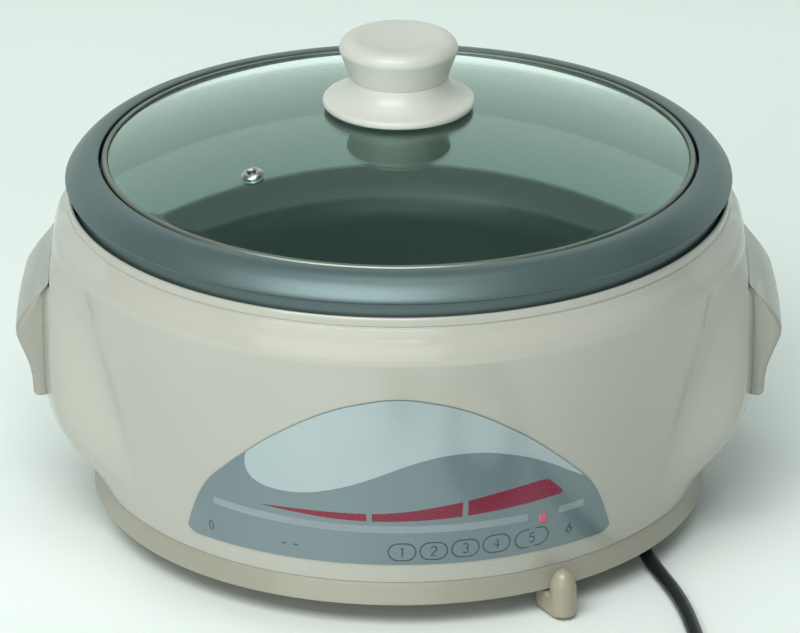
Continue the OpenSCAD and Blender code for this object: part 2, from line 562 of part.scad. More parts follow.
// strain relief: its axis runs along -Y
gland_x = 107;
gland_z = 21.5;
module cord_gland() {
    color(black) translate([gland_x, pocket_y1, gland_z]) rotate([90, 0, 0]) difference() {
        rotate_extrude($fn = 48) polygon([
            [0, -7], [6.2, -7], [6.2, -2.75], [4.5, -2.75], [4.5, 0.1], [6.4, 0.1], [6.4, 2.2], [5.6, 3.0],
            [5.2, 10], [4.5, 24], [4.2, 30], [0, 30]]);
        translate([0, 0, 29.0]) cylinder(r = cord_d / 2 + 0.05, h = 2);
    }
}
module cord_clamp() {
    color([0.85, 0.85, 0.8]) translate([gland_x, 27, base_z + 2.7]) difference() {
        union() {
            translate([-13, -4, 0]) cube([26, 8, 2.8]);
            translate([-13, -4, 2.9]) cube([26, 8, 2.6]);
        }
        for (s = [-1, 1]) translate([s * 9, 0, -1]) cylinder(r = 1.6, h = 12);
    }
}
module clamp_screws() {
    color(steel) for (s = [-1, 1]) translate([gland_x + s * 9, 27, 0]) {
        translate([0, 0, 13.4]) cylinder(r = 1.5, h = 7.5);
        translate([0, 0, base_z + 8.25]) cylinder(r = 2.9, h = 2);
    }
}

// ---------------------------------------------------------------- mains lead
cord_r = cord_d / 2;
// from the strain relief, under the base band, across the table to the coil
lead = [[107, -21.1, 21.5], [107, -25, 21.5], [107.1, -31, 20.8], [107.5, -38, 18.9], [108.5, -46, 16.2], [110.2, -55, 12.9],
        [112.6, -65, 9.7], [115.3, -74.5, 7.1], [118.3, -84, 5.1], [121.5, -93, 4], [124.6, -102, 3.5], [127.6, -112, 3.5],
        [130.3, -123, 3.5], [132.6, -135, 3.5], [134.4, -148, 3.5], [136, -162, 3.5], [137.2, -178, 3.5], [137.8, -195, 3.5],
        [138, -212, 3.5], [138, -228, 3.5]];
coil_x = 96;
coil_y = -246;
coil_r = 38.5;
// from the top of the coil, down beside it to the plug
tail = [[86, -288, 10.5], [76, -288.6, 9.8], [66, -290, 8.2], [56, -292, 6.4], [46, -294, 5], [37, -296, 4.4], [29, -297, 4.4]];
module power_cord() { color(black) tube(run(lead, 2), cord_d, 10); }
module cord_tail() { color(black) tube(run(tail, 2), cord_d, 10); }
module cord_coil() {
    color(black) translate([coil_x, coil_y, 0]) rotate_extrude($fn = 72) polygon([
        [coil_r - 7, 0.2], [coil_r - 5.5, 0], [coil_r + 5.5, 0], [coil_r + 7, 0.2], [coil_r + 7, 13.8], [coil_r + 5.5, 14], [coil_r - 5.5, 14], [coil_r - 7, 13.8]]);
}
module cord_tie() {
    color([0.15, 0.15, 0.15]) translate([coil_x - coil_r, coil_y, 0]) rotate([90, 0, 0]) translate([0, 0, -4]) linear_extrude(height = 8) difference() {
        polygon([[-8.6, 0.0], [8.6, 0.0], [8.6, 15.2], [-8.6, 15.2]]);
        polygon([[-7.5, -1], [7.5, -1], [7.5, 14.1], [-7.5, 14.1]]);
    }
}
plug_p = [29, -297, 0];
plug_z = 12;
module plug_body() {
    color(black) translate([29, -297, 0]) rotate([0, 0, 6.5]) difference() {
        union() {
            hull() {
                translate([-22, 0, 12]) rotate([0, -90, 0]) linear_extrude(height = 14) union() {
                    translate([0, -12]) circle(r = 7, $fn = 32);
                    translate([0, 12]) circle(r = 7, $fn = 32);
                    translate([6, 0]) circle(r = 6, $fn = 32);
                    translate([-5, 0]) circle(r = 7, $fn = 32);
                }
                translate([-14, 0, 10]) rotate([0, -90, 0]) cylinder(r = 7, h = 2, $fn = 32);
            }
            translate([0, 0, 4.4]) rotate([0, -90, 0]) rotate_extrude($fn = 48) polygon([[0, 0], [4.0, 0], [4.3, 6], [4.35, 15], [0, 15]]);
        }
        translate([1, 0, 4.4]) rotate([0, -90, 0]) cylinder(r = cord_r + 0.05, h = 1.6);
    }
}
module plug_pins() {
    color(steel) translate([29, -297, 0]) rotate([0, 0, 6.5]) translate([-36.1, 0, 12]) {
        translate([-20.5, -0.8, -9.3]) cube([20.5, 1.6, 6.3]);
        for (s = [-1, 1]) translate([0, s * 7, 3]) rotate([s * 30, 0, 0]) translate([-17.5, -0.8, -3.15]) cube([17.5, 1.6, 6.3]);
    }
}

lid_glass();
lid_rim();
steam_eyelet();
knob_base();
knob_grip();
knob_insert();
knob_gasket();
knob_washer();
knob_screw();
inner_pot();
housing();
handle_left();
handle_right();
handle_screws();
control_panel();
lamp_lens();
neon_lamp();
base();
base_screws();
feet();
foot_screws();
heating_plate();
heating_tube();
plate_posts();
heat_shield();
shield_nuts();
thermostat();
thermostat_bracket();
lever_shaft();
lever_arm();
lever_screw();
lever_cap();
terminal_block();
thermal_fuse();
wiring();
earth_tag();
cord_clamp();
clamp_screws();
cord_gland();
power_cord();
cord_coil();
cord_tail();
cord_tie();
plug_body();
plug_pins();
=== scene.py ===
import math
import bmesh
import bpy
import numpy as np
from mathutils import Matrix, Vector


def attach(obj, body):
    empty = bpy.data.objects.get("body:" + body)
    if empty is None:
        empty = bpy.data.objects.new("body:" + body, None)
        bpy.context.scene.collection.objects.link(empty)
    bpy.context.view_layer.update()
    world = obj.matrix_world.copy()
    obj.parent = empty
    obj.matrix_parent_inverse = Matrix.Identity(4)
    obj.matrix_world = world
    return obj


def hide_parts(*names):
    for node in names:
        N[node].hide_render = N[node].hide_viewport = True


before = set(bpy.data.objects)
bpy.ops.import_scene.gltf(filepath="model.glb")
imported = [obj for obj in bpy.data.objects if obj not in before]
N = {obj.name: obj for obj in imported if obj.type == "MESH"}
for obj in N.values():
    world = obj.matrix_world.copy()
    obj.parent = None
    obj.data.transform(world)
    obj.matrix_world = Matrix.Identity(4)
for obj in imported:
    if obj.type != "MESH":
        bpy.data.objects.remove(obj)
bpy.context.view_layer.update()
MM = 0.001
sin, cos, pi = math.sin, math.cos, math.pi


# ------------------------------------------------------------------ camera
cam_data = bpy.data.cameras.new("camera")
cam_data.lens = 235.5
cam_data.sensor_width = 36.0
cam_data.clip_end = 50
cam = bpy.data.objects.new("camera", cam_data)
cam.location = (0.0006, -2.2945, 1.0860)
cam.rotation_euler = (math.radians(66.61), 0, 0)
bpy.context.scene.collection.objects.link(cam)
bpy.context.scene.camera = cam


# ------------------------------------------------------------------ materials
def rgb(r, g, b):
    """Linear colour from display values 0 to 255."""
    def f(c):
        c /= 255
        return c / 12.92 if c <= 0.04045 else ((c + 0.055) / 1.055) ** 2.4
    return (f(r), f(g), f(b), 1)


class Mat:
    """A Principled material with procedural colour, roughness and bump."""

    def __init__(self, name, **fixed):
        self.m = bpy.data.materials.new(name)
        self.m.use_nodes = True
        self.t = self.m.node_tree
        self.bsdf = next(n for n in self.t.nodes if n.type == "BSDF_PRINCIPLED")
        self.out = next(n for n in self.t.nodes if n.type == "OUTPUT_MATERIAL")
        for k, v in fixed.items():
            self.bsdf.inputs[k.replace("_", " ")].default_value = v
        self.co = self.add("ShaderNodeTexCoord").outputs["Object"]

    def add(self, kind, **props):
        n = self.t.nodes.new(kind)
        for k, v in props.items():
            setattr(n, k, v)
        return n

    def link(self, a, b):
        self.t.links.new(a, b)

    def scaled(self, s):
        n = self.add("ShaderNodeMapping")
        n.inputs["Scale"].default_value = s if hasattr(s, "__len__") else (s, s, s)
        self.link(self.co, n.inputs["Vector"])
        return n.outputs["Vector"]

    def noise(self, scale, detail=2.0, rough=0.5, stretch=None):
        n = self.add("ShaderNodeTexNoise")
        n.inputs["Scale"].default_value = scale
        n.inputs["Detail"].default_value = detail
        n.inputs["Roughness"].default_value = rough
        self.link(self.scaled(stretch) if stretch else self.co, n.inputs["Vector"])
        return n.outputs["Fac"]

    def voronoi(self, scale, stretch=None, feature="F1"):
        n = self.add("ShaderNodeTexVoronoi")
        n.feature = feature
        n.inputs["Scale"].default_value = scale
        self.link(self.scaled(stretch) if stretch else self.co, n.inputs["Vector"])
        return n.outputs["Distance"]

    def ramp(self, src, lo, hi, out_lo=0.0, out_hi=1.0):
        n = self.add("ShaderNodeMapRange")
        for k, v in (("From Min", lo), ("From Max", hi), ("To Min", out_lo), ("To Max", out_hi)):
            n.inputs[k].default_value = v
        self.link(src, n.inputs["Value"])
        return n.outputs["Result"]

    def mix(self, fac, a, b):
        n = self.add("ShaderNodeMix", data_type="RGBA")
        for i, v in ((0, fac), (6, a), (7, b)):
            if isinstance(v, (tuple, list, float, int)):
                n.inputs[i].default_value = v
            else:
                self.link(v, n.inputs[i])
        return n.outputs[2]

    def math(self, op, a, b=0.0):
        n = self.add("ShaderNodeMath", operation=op)
        for i, v in enumerate((a, b)):
            if isinstance(v, (float, int)):
                n.inputs[i].default_value = v
            else:
                self.link(v, n.inputs[i])
        return n.outputs[0]

    def color(self, s):
        self.link(s, self.bsdf.inputs["Base Color"])
        return self

    def rough(self, s):
        self.link(s, self.bsdf.inputs["Roughness"])
        return self

    def bump(self, height, distance, strength=1.0, before=None):
        n = self.add("ShaderNodeBump")
        n.inputs["Strength"].default_value = strength
        n.inputs["Distance"].default_value = distance
        self.link(height, n.inputs["Height"])
        if before is not None:
            self.link(before, n.inputs["Normal"])
        self.link(n.outputs["Normal"], self.bsdf.inputs["Normal"])
        return n.outputs["Normal"]


def two_tone(name, a, b, rough, patch=18.0, grain=900.0, bump=0.00002, spread=0.04, **fixed):
    """Moulded or plated stuff: a slow drift between two near colours, and a fine grain in gloss and relief."""
    m = Mat(name, **fixed)
    slow = m.ramp(m.noise(patch, 3.0), 0.35, 0.65)
    fine = m.noise(grain, 2.0, 0.6)
    m.color(m.mix(slow, a, b))
    m.rough(m.ramp(fine, 0.3, 0.7, max(0.02, rough - spread), rough + spread))
    if bump:
        m.bump(fine, bump)
    return m


def housing_like(name, a, b, rough=0.2):
    """Glossy injection-moulded plastic: faint orange-peel, a slow colour drift and a few fine dust specks."""
    m = Mat(name, Specular_IOR_Level=0.5, Coat_Weight=0.22, Coat_Roughness=0.08, Subsurface_Weight=0.0)
    slow = m.ramp(m.noise(9.0, 3.0, 0.5), 0.36, 0.64)
    speck = m.ramp(m.voronoi(420.0), 0.0, 0.10, 1.0, 0.0)
    keep = m.ramp(m.noise(70.0, 1.0), 0.60, 0.72)
    base = m.mix(slow, a, b)
    dust = m.math("MULTIPLY", m.math("MULTIPLY", speck, keep), 0.35)
    m.color(m.mix(dust, base, tuple(c * 0.72 for c in a[:3]) + (1,)))
    wipe = m.noise(14.0, 4.0, 0.6, stretch=(1, 1, 3.0))
    m.rough(m.ramp(wipe, 0.3, 0.7, rough - 0.035, rough + 0.05))
    peel = m.noise(160.0, 2.0, 0.5)
    m.bump(peel, 0.00006, 0.35)
    return m


M = {}
M["housing"] = housing_like("housing_plastic", rgb(177, 176, 166), rgb(173, 172, 162), 0.19)
M["base"] = housing_like("base_plastic", rgb(152, 149, 135), rgb(148, 145, 131), 0.36)
# handle plastic: the housing plastic made darker, as painted shade on the handles
M["ear"] = housing_like("ear_plastic_painted_shade", rgb(152, 152, 142), rgb(148, 148, 138), 0.28)
M["lever"] = housing_like("lever_plastic", rgb(160, 152, 132), rgb(155, 147, 127), 0.3)
M["knob"] = two_tone("knob_plastic", rgb(194, 194, 186), rgb(190, 190, 181), 0.38, 14, 260, 0.00003, 0.05,
                     Coat_Weight=0.12, Coat_Roughness=0.2)
M["steel"] = two_tone("zinc_steel", rgb(196, 198, 198), rgb(182, 184, 183), 0.3, 40, 1400, 0.00001, 0.08, Metallic=1.0)
M["brass"] = two_tone("brass", rgb(212, 178, 106), rgb(196, 160, 92), 0.28, 60, 1200, 0.00001, 0.06, Metallic=1.0)
M["pins"] = two_tone("brass_nickel", rgb(212, 210, 200), rgb(198, 194, 182), 0.22, 60, 1200, 0.00001, 0.06, Metallic=1.0)
M["gasket"] = two_tone("silicone", rgb(214, 216, 212), rgb(204, 207, 203), 0.55, 60, 700, 0.00002, Subsurface_Weight=0.15,
                       Subsurface_Radius=(0.004, 0.004, 0.004))
M["rubber"] = two_tone("foot_rubber", rgb(38, 39, 39), rgb(48, 49, 48), 0.72, 60, 900, 0.00004)
M["plate"] = two_tone("cast_aluminium", rgb(176, 178, 180), rgb(160, 162, 165), 0.38, 30, 300, 0.00006, 0.1, Metallic=1.0)
M["tube"] = two_tone("element_steel", rgb(120, 108, 98), rgb(96, 92, 96), 0.42, 30, 500, 0.00003, 0.1, Metallic=1.0)
M["shield"] = two_tone("shield_steel", rgb(200, 203, 205), rgb(184, 188, 191), 0.26, 45, 260, 0.00003, 0.08, Metallic=1.0)
M["steatite"] = two_tone("steatite", rgb(226, 220, 205), rgb(214, 207, 190), 0.6, 60, 800, 0.00004)
M["white"] = two_tone("white_plastic", rgb(226, 226, 219), rgb(216, 216, 208), 0.42, 50, 700, 0.00002)
M["wire"] = two_tone("wire_sleeve", rgb(206, 196, 176), rgb(176, 140, 124), 0.6, 35, 2200, 0.00006)
M["lamp"] = two_tone("lamp_red", rgb(240, 120, 150), rgb(228, 96, 128), 0.18, 60, 300, 0.0, 0.04, Transmission_Weight=0.35)
M["tie"] = two_tone("tie_plastic", rgb(30, 30, 31), rgb(42, 42, 42), 0.5, 80, 900, 0.00003)


def cord_material():
    """Black PVC sheath: satin, a little dust, faint pinch marks."""
    m = Mat("cord_pvc", Specular_IOR_Level=0.5)
    slow = m.ramp(m.noise(26.0, 3.0), 0.35, 0.65)
    dust = m.ramp(m.noise(700.0, 2.0, 0.7), 0.62, 0.78, 0.0, 0.5)
    base = m.mix(slow, rgb(13, 20, 20), rgb(22, 29, 29))
    m.color(m.mix(dust, base, rgb(44, 52, 50)))
    m.rough(m.ramp(m.noise(90.0, 2.0), 0.3, 0.7, 0.34, 0.5))
    m.bump(m.noise(900.0, 2.0, 0.6), 0.00003)
    return m


def pot_material(name, dark, light, rough, metal, fleck=1500.0):
    """Non-stick metallic coating: dark body colour with bright flakes."""
    m = Mat(name, Metallic=metal, Specular_IOR_Level=0.5, Coat_Weight=0.06, Coat_Roughness=0.16)
    slow = m.ramp(m.noise(11.0, 3.0), 0.32, 0.68)
    base = m.mix(slow, dark, light)
    flakes = m.ramp(m.voronoi(fleck), 0.0, 0.24, 1.0, 0.0)
    some = m.ramp(m.noise(fleck * 0.32, 1.0), 0.50, 0.62)
    m_f = m.math("MULTIPLY", m.math("MULTIPLY", flakes, some), 0.2)
    pale = tuple(min(1.0, c * 2.0 + 0.03) for c in light[:3]) + (1,)
    m.color(m.mix(m_f, base, pale))
    m.rough(m.ramp(m.noise(fleck * 0.4, 2.0, 0.6), 0.3, 0.7, rough - 0.02, rough + 0.03))
    m.bump(m.noise(fleck * 0.6, 2.0, 0.6), 0.000008, 0.4)
    return m


M["cord"] = cord_material()
M["pot"] = pot_material("pot_coating", rgb(84, 101, 102), rgb(92, 110, 110), 0.42, 0.5)
M["pot_in"] = pot_material("pot_lining", rgb(17, 25, 22), rgb(22, 31, 28), 0.42, 0.2, 900.0)


def rim_material():
    """Rolled steel band, drawn lengthwise: fine rings round the axis."""
    m = Mat("rim_steel", Metallic=1.0)
    brush = m.noise(60.0, 3.0, 0.7, stretch=(1, 1, 60.0))
    slow = m.ramp(m.noise(22.0, 2.0), 0.35, 0.65)
    m.color(m.mix(slow, rgb(140, 146, 138), rgb(128, 136, 128)))
    m.rough(m.ramp(brush, 0.3, 0.7, 0.40, 0.54))
    m.bump(brush, 0.00002, 0.5)
    return m


M["rim"] = rim_material()


def glass_material():
    """Clear tempered glass, faintly green. Lamps light what is under it."""
    m = Mat("tempered_glass", Transmission_Weight=1.0, IOR=1.9, Specular_Tint=(0.66, 1.0, 0.90, 1.0))
    smear = m.ramp(m.noise(16.0, 4.0, 0.6, stretch=(1, 2.2, 1)), 0.45, 0.75, 0.0, 0.018)
    m.rough(smear)
    tint = m.ramp(m.noise(6.0, 2.0), 0.3, 0.7)
    m.color(m.mix(tint, rgb(222, 246, 236), rgb(216, 244, 232)))
    path = m.add("ShaderNodeLightPath")
    clear = m.add("ShaderNodeBsdfTransparent")
    clear.inputs["Color"].default_value = (0.84, 0.93, 0.90, 1)
    both = m.add("ShaderNodeMixShader")
    m.link(path.outputs["Is Shadow Ray"], both.inputs[0])
    m.link(m.bsdf.outputs[0], both.inputs[1])
    m.link(clear.outputs[0], both.inputs[2])
    m.link(both.outputs[0], m.out.inputs["Surface"])
    return m


M["glass"] = glass_material()
M["panel_dark"] = two_tone("panel_lower", rgb(114, 130, 134), rgb(105, 121, 126), 0.24, 12, 1500, 0.00001, 0.04, Coat_Weight=0.4,
                           Coat_Roughness=0.1, Metallic=0.15)
M["panel_light"] = two_tone("panel_upper", rgb(168, 182, 184), rgb(161, 176, 178), 0.24, 12, 1500, 0.00001, 0.04, Coat_Weight=0.4,
                            Coat_Roughness=0.1, Metallic=0.15)
M["panel_red"] = two_tone("panel_red", rgb(124, 22, 52), rgb(116, 18, 48), 0.28, 20, 1500, 0.0, 0.04, Coat_Weight=0.15, Coat_Roughness=0.1)
M["panel_ink"] = two_tone("panel_ink", rgb(48, 60, 66), rgb(58, 70, 76), 0.3, 60, 1500, 0.0, 0.04)
M["panel_track"] = two_tone("panel_track", rgb(136, 146, 150), rgb(130, 140, 146), 0.26, 30, 1500, 0.0, 0.04, Coat_Weight=0.4, Coat_Roughness=0.1)


# ------------------------------------------------------------------ mesh helpers
def make(name, verts, faces, mats, smooth=True, index=None):
    me = bpy.data.meshes.new(name)
    me.from_pydata([tuple(v) for v in verts], [], [tuple(f) for f in faces])
    me.validate()
    for m in (mats if isinstance(mats, (list, tuple)) else [mats]):
        me.materials.append(m.m)
    if index is not None:
        me.polygons.foreach_set("material_index", index)
    me.polygons.foreach_set("use_smooth", [smooth] * len(me.polygons))
    me.update()
    ob = bpy.data.objects.new(name, me)
    bpy.context.scene.collection.objects.link(ob)
    return ob


def outward(ob):
    """Normals out, doubles merged."""
    bm = bmesh.new()
    bm.from_mesh(ob.data)
    bmesh.ops.remove_doubles(bm, verts=bm.verts, dist=1e-7)
    bmesh.ops.recalc_face_normals(bm, faces=bm.faces)
    bm.to_mesh(ob.data)
    bm.free()
    return ob


def sharp(ob, angle):
    ob.data.set_sharp_from_angle(angle=math.radians(angle))
    return ob


def rounded(pts, step=1.0, n=6):
    """Closed or open profile with rounded corners. A point is (r, z) or (r, z, radius). Long straights are cut every step."""
    out = []
    k = len(pts)
    for i, p in enumerate(pts):
        rad = p[2] if len(p) > 2 else 0
        if rad <= 0 or i in (0, k - 1):
            out.append((p[0], p[1]))
            continue
        a, b, c = Vector(pts[i - 1][:2]), Vector(p[:2]), Vector(pts[i + 1][:2])
        u, w = (a - b), (c - b)
        lu, lw = u.length, w.length
        u, w = u / lu, w / lw
        half = math.acos(max(-1, min(1, u.dot(w)))) / 2
        d = min(rad / max(1e-6, math.tan(half)), lu * 0.49, lw * 0.49)
        p0, p2 = b + u * d, b + w * d
        for j in range(n + 1):
            t = j / n
            q = p0 * (1 - t) ** 2 + b * 2 * t * (1 - t) + p2 * t ** 2
            out.append((q.x, q.y))
    fine = []
    for a, b in zip(out, out[1:]):
        d = math.hypot(b[0] - a[0], b[1] - a[1])
        if d < 1e-5:
            continue
        m = max(1, int(math.ceil(d / step)))
        fine += [(a[0] + (b[0] - a[0]) * j / m, a[1] + (b[1] - a[1]) * j / m) for j in range(m)]
    return fine + [out[-1]]


def spline(pts, k=6):
    """Catmull-Rom through points of any size, k pieces a span."""
    p = np.array(pts, float)
    q = np.vstack([2 * p[0] - p[1], p, 2 * p[-1] - p[-2]])
    out = []
    for i in range(len(p) - 1):
        a, b, c, d = q[i:i + 4]
        for j in range(k):
            t = j / k
            out.append(0.5 * (2 * b + (c - a) * t + (2 * a - 5 * b + 4 * c - d) * t * t + (3 * b - a - 3 * c + d) * t ** 3))
    out.append(p[-1])
    return np.array(out)


def revolve(name, profile, mats, seg=240, closed=True, place=None, second=None):
    """Turns a profile of (r, z) in mm round Z. Points at r = 0 become one vertex. second(i): does span i take finish 2."""
    verts, rings, faces, index = [], [], [], []
    for r, z in profile:
        if r < 1e-6:
            rings.append([len(verts)])
            verts.append((0, 0, z * MM))
        else:
            rings.append(list(range(len(verts), len(verts) + seg)))
            verts += [(r * cos(2 * pi * k / seg) * MM, r * sin(2 * pi * k / seg) * MM, z * MM) for k in range(seg)]
    n = len(rings)
    for i in range(n if closed else n - 1):
        a, b = rings[i], rings[(i + 1) % n]
        if len(a) == 1 and len(b) == 1:
            continue
        for k in range(seg):
            l = (k + 1) % seg
            if len(a) == 1:
                faces.append((a[0], b[k], b[l]))
            elif len(b) == 1:
                faces.append((a[k], b[0], a[l]))
            else:
                faces.append((a[k], b[k], b[l], a[l]))
        if second is not None:
            index += [1 if second(i) else 0] * seg
    ob = outward(make(name, verts, faces, mats, True, index if second is not None else None))
    if place is not None:
        ob.data.transform(place)
    return ob


def done(ob, body, slot, *nodes):
    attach(ob, body)
    if nodes:
        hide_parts(*nodes)
    return ob


def at(a, r, z):
    a = math.radians(a)
    return (r * sin(a), -r * cos(a), z)


# ------------------------------------------------------------------ mains lead
lead = [(107, -21.1, 21.5), (107, -25, 21.5), (107.1, -31, 20.8), (107.5, -38, 18.9), (108.5, -46, 16.2), (110.2, -55, 12.9),
        (112.6, -65, 9.7), (115.3, -74.5, 7.1), (118.3, -84, 5.1), (121.5, -93, 4), (124.6, -102, 3.5), (127.6, -112, 3.5),
        (130.3, -123, 3.5), (132.6, -135, 3.5), (134.4, -148, 3.5), (136, -162, 3.5), (137.2, -178, 3.5), (137.8, -195, 3.5),
        (138, -212, 3.5), (138, -228, 3.5)]
tail = [(86, -288, 10.5), (76, -288.6, 9.8), (66, -290, 8.2), (56, -292, 6.4), (46, -294, 5), (37, -296, 4.4), (29, -297, 4.4)]


def ease(t):
    t = min(1.0, max(0.0, t))
    return t * t * (3 - 2 * t)


coil = []
for s in range(0, 1171, 15):
    r = 42 - 7 * ease((s - 292) / 62) + 7 * ease((s - 950) / 62)
    z = 3.5 + 7 * ease((s - 586) / 96)
    a = math.radians(-s)
    coil.append((96 + r * cos(a), -246 + r * sin(a), z))
route = lead + coil + tail


def cord_curve(name, pts, radius, mat):
    cu = bpy.data.curves.new(name, "CURVE")
    cu.dimensions = "3D"
    cu.bevel_depth = radius * MM
    cu.bevel_resolution = 5
    cu.resolution_u = 5
    cu.use_fill_caps = True
    sp = cu.splines.new("BEZIER")
    sp.bezier_points.add(len(pts) - 1)
    for bp, p in zip(sp.bezier_points, pts):
        bp.co = tuple(c * MM for c in p)
        bp.handle_left_type = bp.handle_right_type = "AUTO"
    ob = bpy.data.objects.new(name, cu)
    cu.materials.append(mat.m)
    bpy.context.scene.collection.objects.link(ob)
    return ob


mains = cord_curve("mains_lead", route, 3.5, M["cord"])
done(mains, "cooker_base", "cord_pvc", "power_cord", "cord_coil", "cord_tail")


# strain relief: flange, groove, tapered boot with segment cuts
def boot_profile():
    p = [(3.56, 1.2), (3.56, -6.0), (5.2, -6.6, 0.4), (6.2, -6.6, 0.4), (6.2, -2.75), (4.5, -2.75), (4.5, 0.1), (6.4, 0.1), (6.4, 2.2, 0.5), (5.6, 3.0, 0.5)]
    for i in range(5):
        z0 = 5.4 + i * 4.6
        r0 = 5.5 - 0.24 * i
        p += [(r0, z0, 0.3), (r0 - 0.75, z0 + 0.4, 0.2), (r0 - 0.78, z0 + 1.6, 0.2), (r0 - 0.1, z0 + 2.0, 0.3)]
    p += [(4.25, 29.4, 0.4), (4.0, 30.0, 0.3), (3.58, 30.0)]
    return rounded(p, 1.2, 4)


from mathutils import Matrix
gland = revolve("strain_relief", boot_profile() + [(3.56, 29.0)], M["cord"], 48, True,
                Matrix.Translation((0.107, 0.008, 0.0215)) @ Matrix.Rotation(math.radians(90), 4, "X"))
done(gland, "cooker_base", "cord_pvc", "cord_gland")


# ------------------------------------------------------------------ plug
def plug():
    """Rounded three-pin plug body: stacked outlines from the boot to the pin face."""
    rings = []
    n = 64
    def outline(w, lo, hi, zc, x, pinch=0.0):
        pts = []
        for k in range(n):
            t = 2 * pi * k / n
            c, s = cos(t), sin(t)
            e = 0.62
            y = w * math.copysign(abs(c) ** e, c) * (1 - pinch * max(0, s))
            z = zc + (hi if s > 0 else lo) * math.copysign(abs(s) ** e, s)
            pts.append((x, y, z))
        return pts
    spec = [(-13.2, 6.0, 6.0, 6.6, 10.0, 0.0), (-14.0, 6.8, 6.9, 7.2, 10.2, 0.0), (-16, 8.2, 8.3, 7.6, 11.0, 0.0), (-19, 12.4, 9.6, 8.4, 11.6, 0.05),
            (-22, 17.0, 11.0, 9.4, 12.0, 0.12), (-24, 18.4, 11.6, 10.6, 12.0, 0.16), (-28, 18.8, 11.8, 11.4, 12.0, 0.18),
            (-33, 18.9, 11.8, 11.7, 12.0, 0.19), (-35.2, 18.6, 11.5, 11.5, 12.0, 0.19), (-36.0, 17.6, 10.6, 10.6, 12.0, 0.19)]
    ks = spline([s for s in spec], 3)
    verts, faces = [], []
    for s in ks:
        verts += outline(s[1], s[2], s[3], s[4], s[0], s[5])
    m = len(ks)
    for i in range(m - 1):
        for k in range(n):
            l = (k + 1) % n
            faces.append((i * n + k, i * n + l, (i + 1) * n + l, (i + 1) * n + k))
    faces.append(tuple(range(n)))
    faces.append(tuple((m - 1) * n + k for k in range(n)))
    verts = [(x * MM, y * MM, z * MM) for x, y, z in verts]
    return outward(make("plug_shell", verts, faces, M["cord"]))


plug_place = Matrix.Translation((0.029, -0.297, 0)) @ Matrix.Rotation(math.radians(6.5), 4, "Z")
pl = plug()
boot = revolve("plug_boot", rounded([(3.56, 0.2), (3.9, 0.0, 0.2), (4.15, 1.2, 0.4), (4.2, 3.2, 0.3), (3.75, 3.6, 0.2), (3.75, 4.6, 0.2), (4.35, 5.0, 0.3),
                                     (4.4, 7.2, 0.3), (3.85, 7.6, 0.2), (3.85, 8.6, 0.2), (4.4, 9.0, 0.3), (4.4, 11.4, 0.3), (3.9, 11.8, 0.2), (3.9, 12.6, 0.2), (4.38, 13.0, 0.3),
                                     (4.38, 15.6), (3.56, 15.6)], 1.2, 4), M["cord"], 40, True,
               Matrix.Translation((0, 0, 0.0044)) @ Matrix.Rotation(math.radians(-90), 4, "Y"))
pl.data.transform(plug_place)
boot.data.transform(plug_place)
sharp(pl, 40)
done(pl, "cooker_base", "cord_pvc", "plug_body")
done(boot, "cooker_base", "cord_pvc")


def strap():
    """Ribbed strap round the coil, with a head on top."""
    outer = rounded([(-8.6, 1.0), (-8.6, 0.02, 0.9), (8.6, 0.02, 0.9), (8.6, 15.1, 2.6), (-8.6, 15.1, 2.6), (-8.6, 1.0)], 0.7, 6)
    inner = rounded([(-7.6, 1.0), (-7.6, 0.3, 0.3), (7.6, 0.3, 0.3), (7.6, 14.1, 1.9), (-7.6, 14.1, 1.9), (-7.6, 1.0)], 0.7, 6)
    m = min(len(outer), len(inner))
    pick = lambda p: [p[round(i * (len(p) - 1) / m)] for i in range(m)]
    outer, inner = pick(outer), pick(inner)
    verts, faces = [], []
    ys = [-3.9, -3.6, -2.2, -1.9, -0.4, -0.1, 0.1, 0.4, 1.9, 2.2, 3.6, 3.9]
    dep = [0.25, 0, 0, 0.18, 0.18, 0, 0, 0.18, 0.18, 0, 0, 0.25]
    for y, d in zip(ys, dep):
        for (x, z) in outer:
            verts.append((x - math.copysign(d if abs(x) > 8.2 else 0, x), y, z - (d if z > 14.6 else 0)))
    for y in (ys[-1], ys[0]):
        verts += [(x, y, z) for x, z in inner]
    k = len(ys)
    rows = list(range(k)) + [k, k + 1]
    for i in range(len(rows)):
        a, b = rows[i], rows[(i + 1) % len(rows)]
        for j in range(m):
            l = (j + 1) % m
            faces.append((a * m + j, a * m + l, b * m + l, b * m + j))
    verts = [(x * MM + 0.0575, y * MM - 0.246, z * MM) for x, y, z in verts]
    return outward(make("coil_strap", verts, faces, M["tie"]))


tie = sharp(strap(), 35)
done(tie, "cooker_base", "tie_plastic", "cord_tie")
cord_length = 1.0


# ------------------------------------------------------------------ housing
FRONT_TOP, FRONT_LOW, CHEEK, SCOOP = 162.3, 143.8, 171.5, 146.0


def pchip(xs, ys):
    """Monotone cubic through points, as a function on arrays."""
    xs, ys = np.array(xs, float), np.array(ys, float)
    h = np.diff(xs)
    d = np.diff(ys) / h
    m = np.zeros(len(xs))
    m[0], m[-1] = d[0], d[-1]
    for i in range(1, len(xs) - 1):
        if d[i - 1] * d[i] > 0:
            w1, w2 = 2 * h[i] + h[i - 1], h[i] + 2 * h[i - 1]
            m[i] = (w1 + w2) / (w1 / d[i - 1] + w2 / d[i])
    def f(x):
        x = np.clip(np.asarray(x, float), xs[0], xs[-1])
        i = np.clip(np.searchsorted(xs, x, side="right") - 1, 0, len(h) - 1)
        t = (x - xs[i]) / h[i]
        return ((1 + 2 * t) * (1 - t) ** 2 * ys[i] + t * (1 - t) ** 2 * h[i] * m[i]
                + t * t * (3 - 2 * t) * ys[i + 1] + t * t * (t - 1) * h[i] * m[i + 1])
    return f


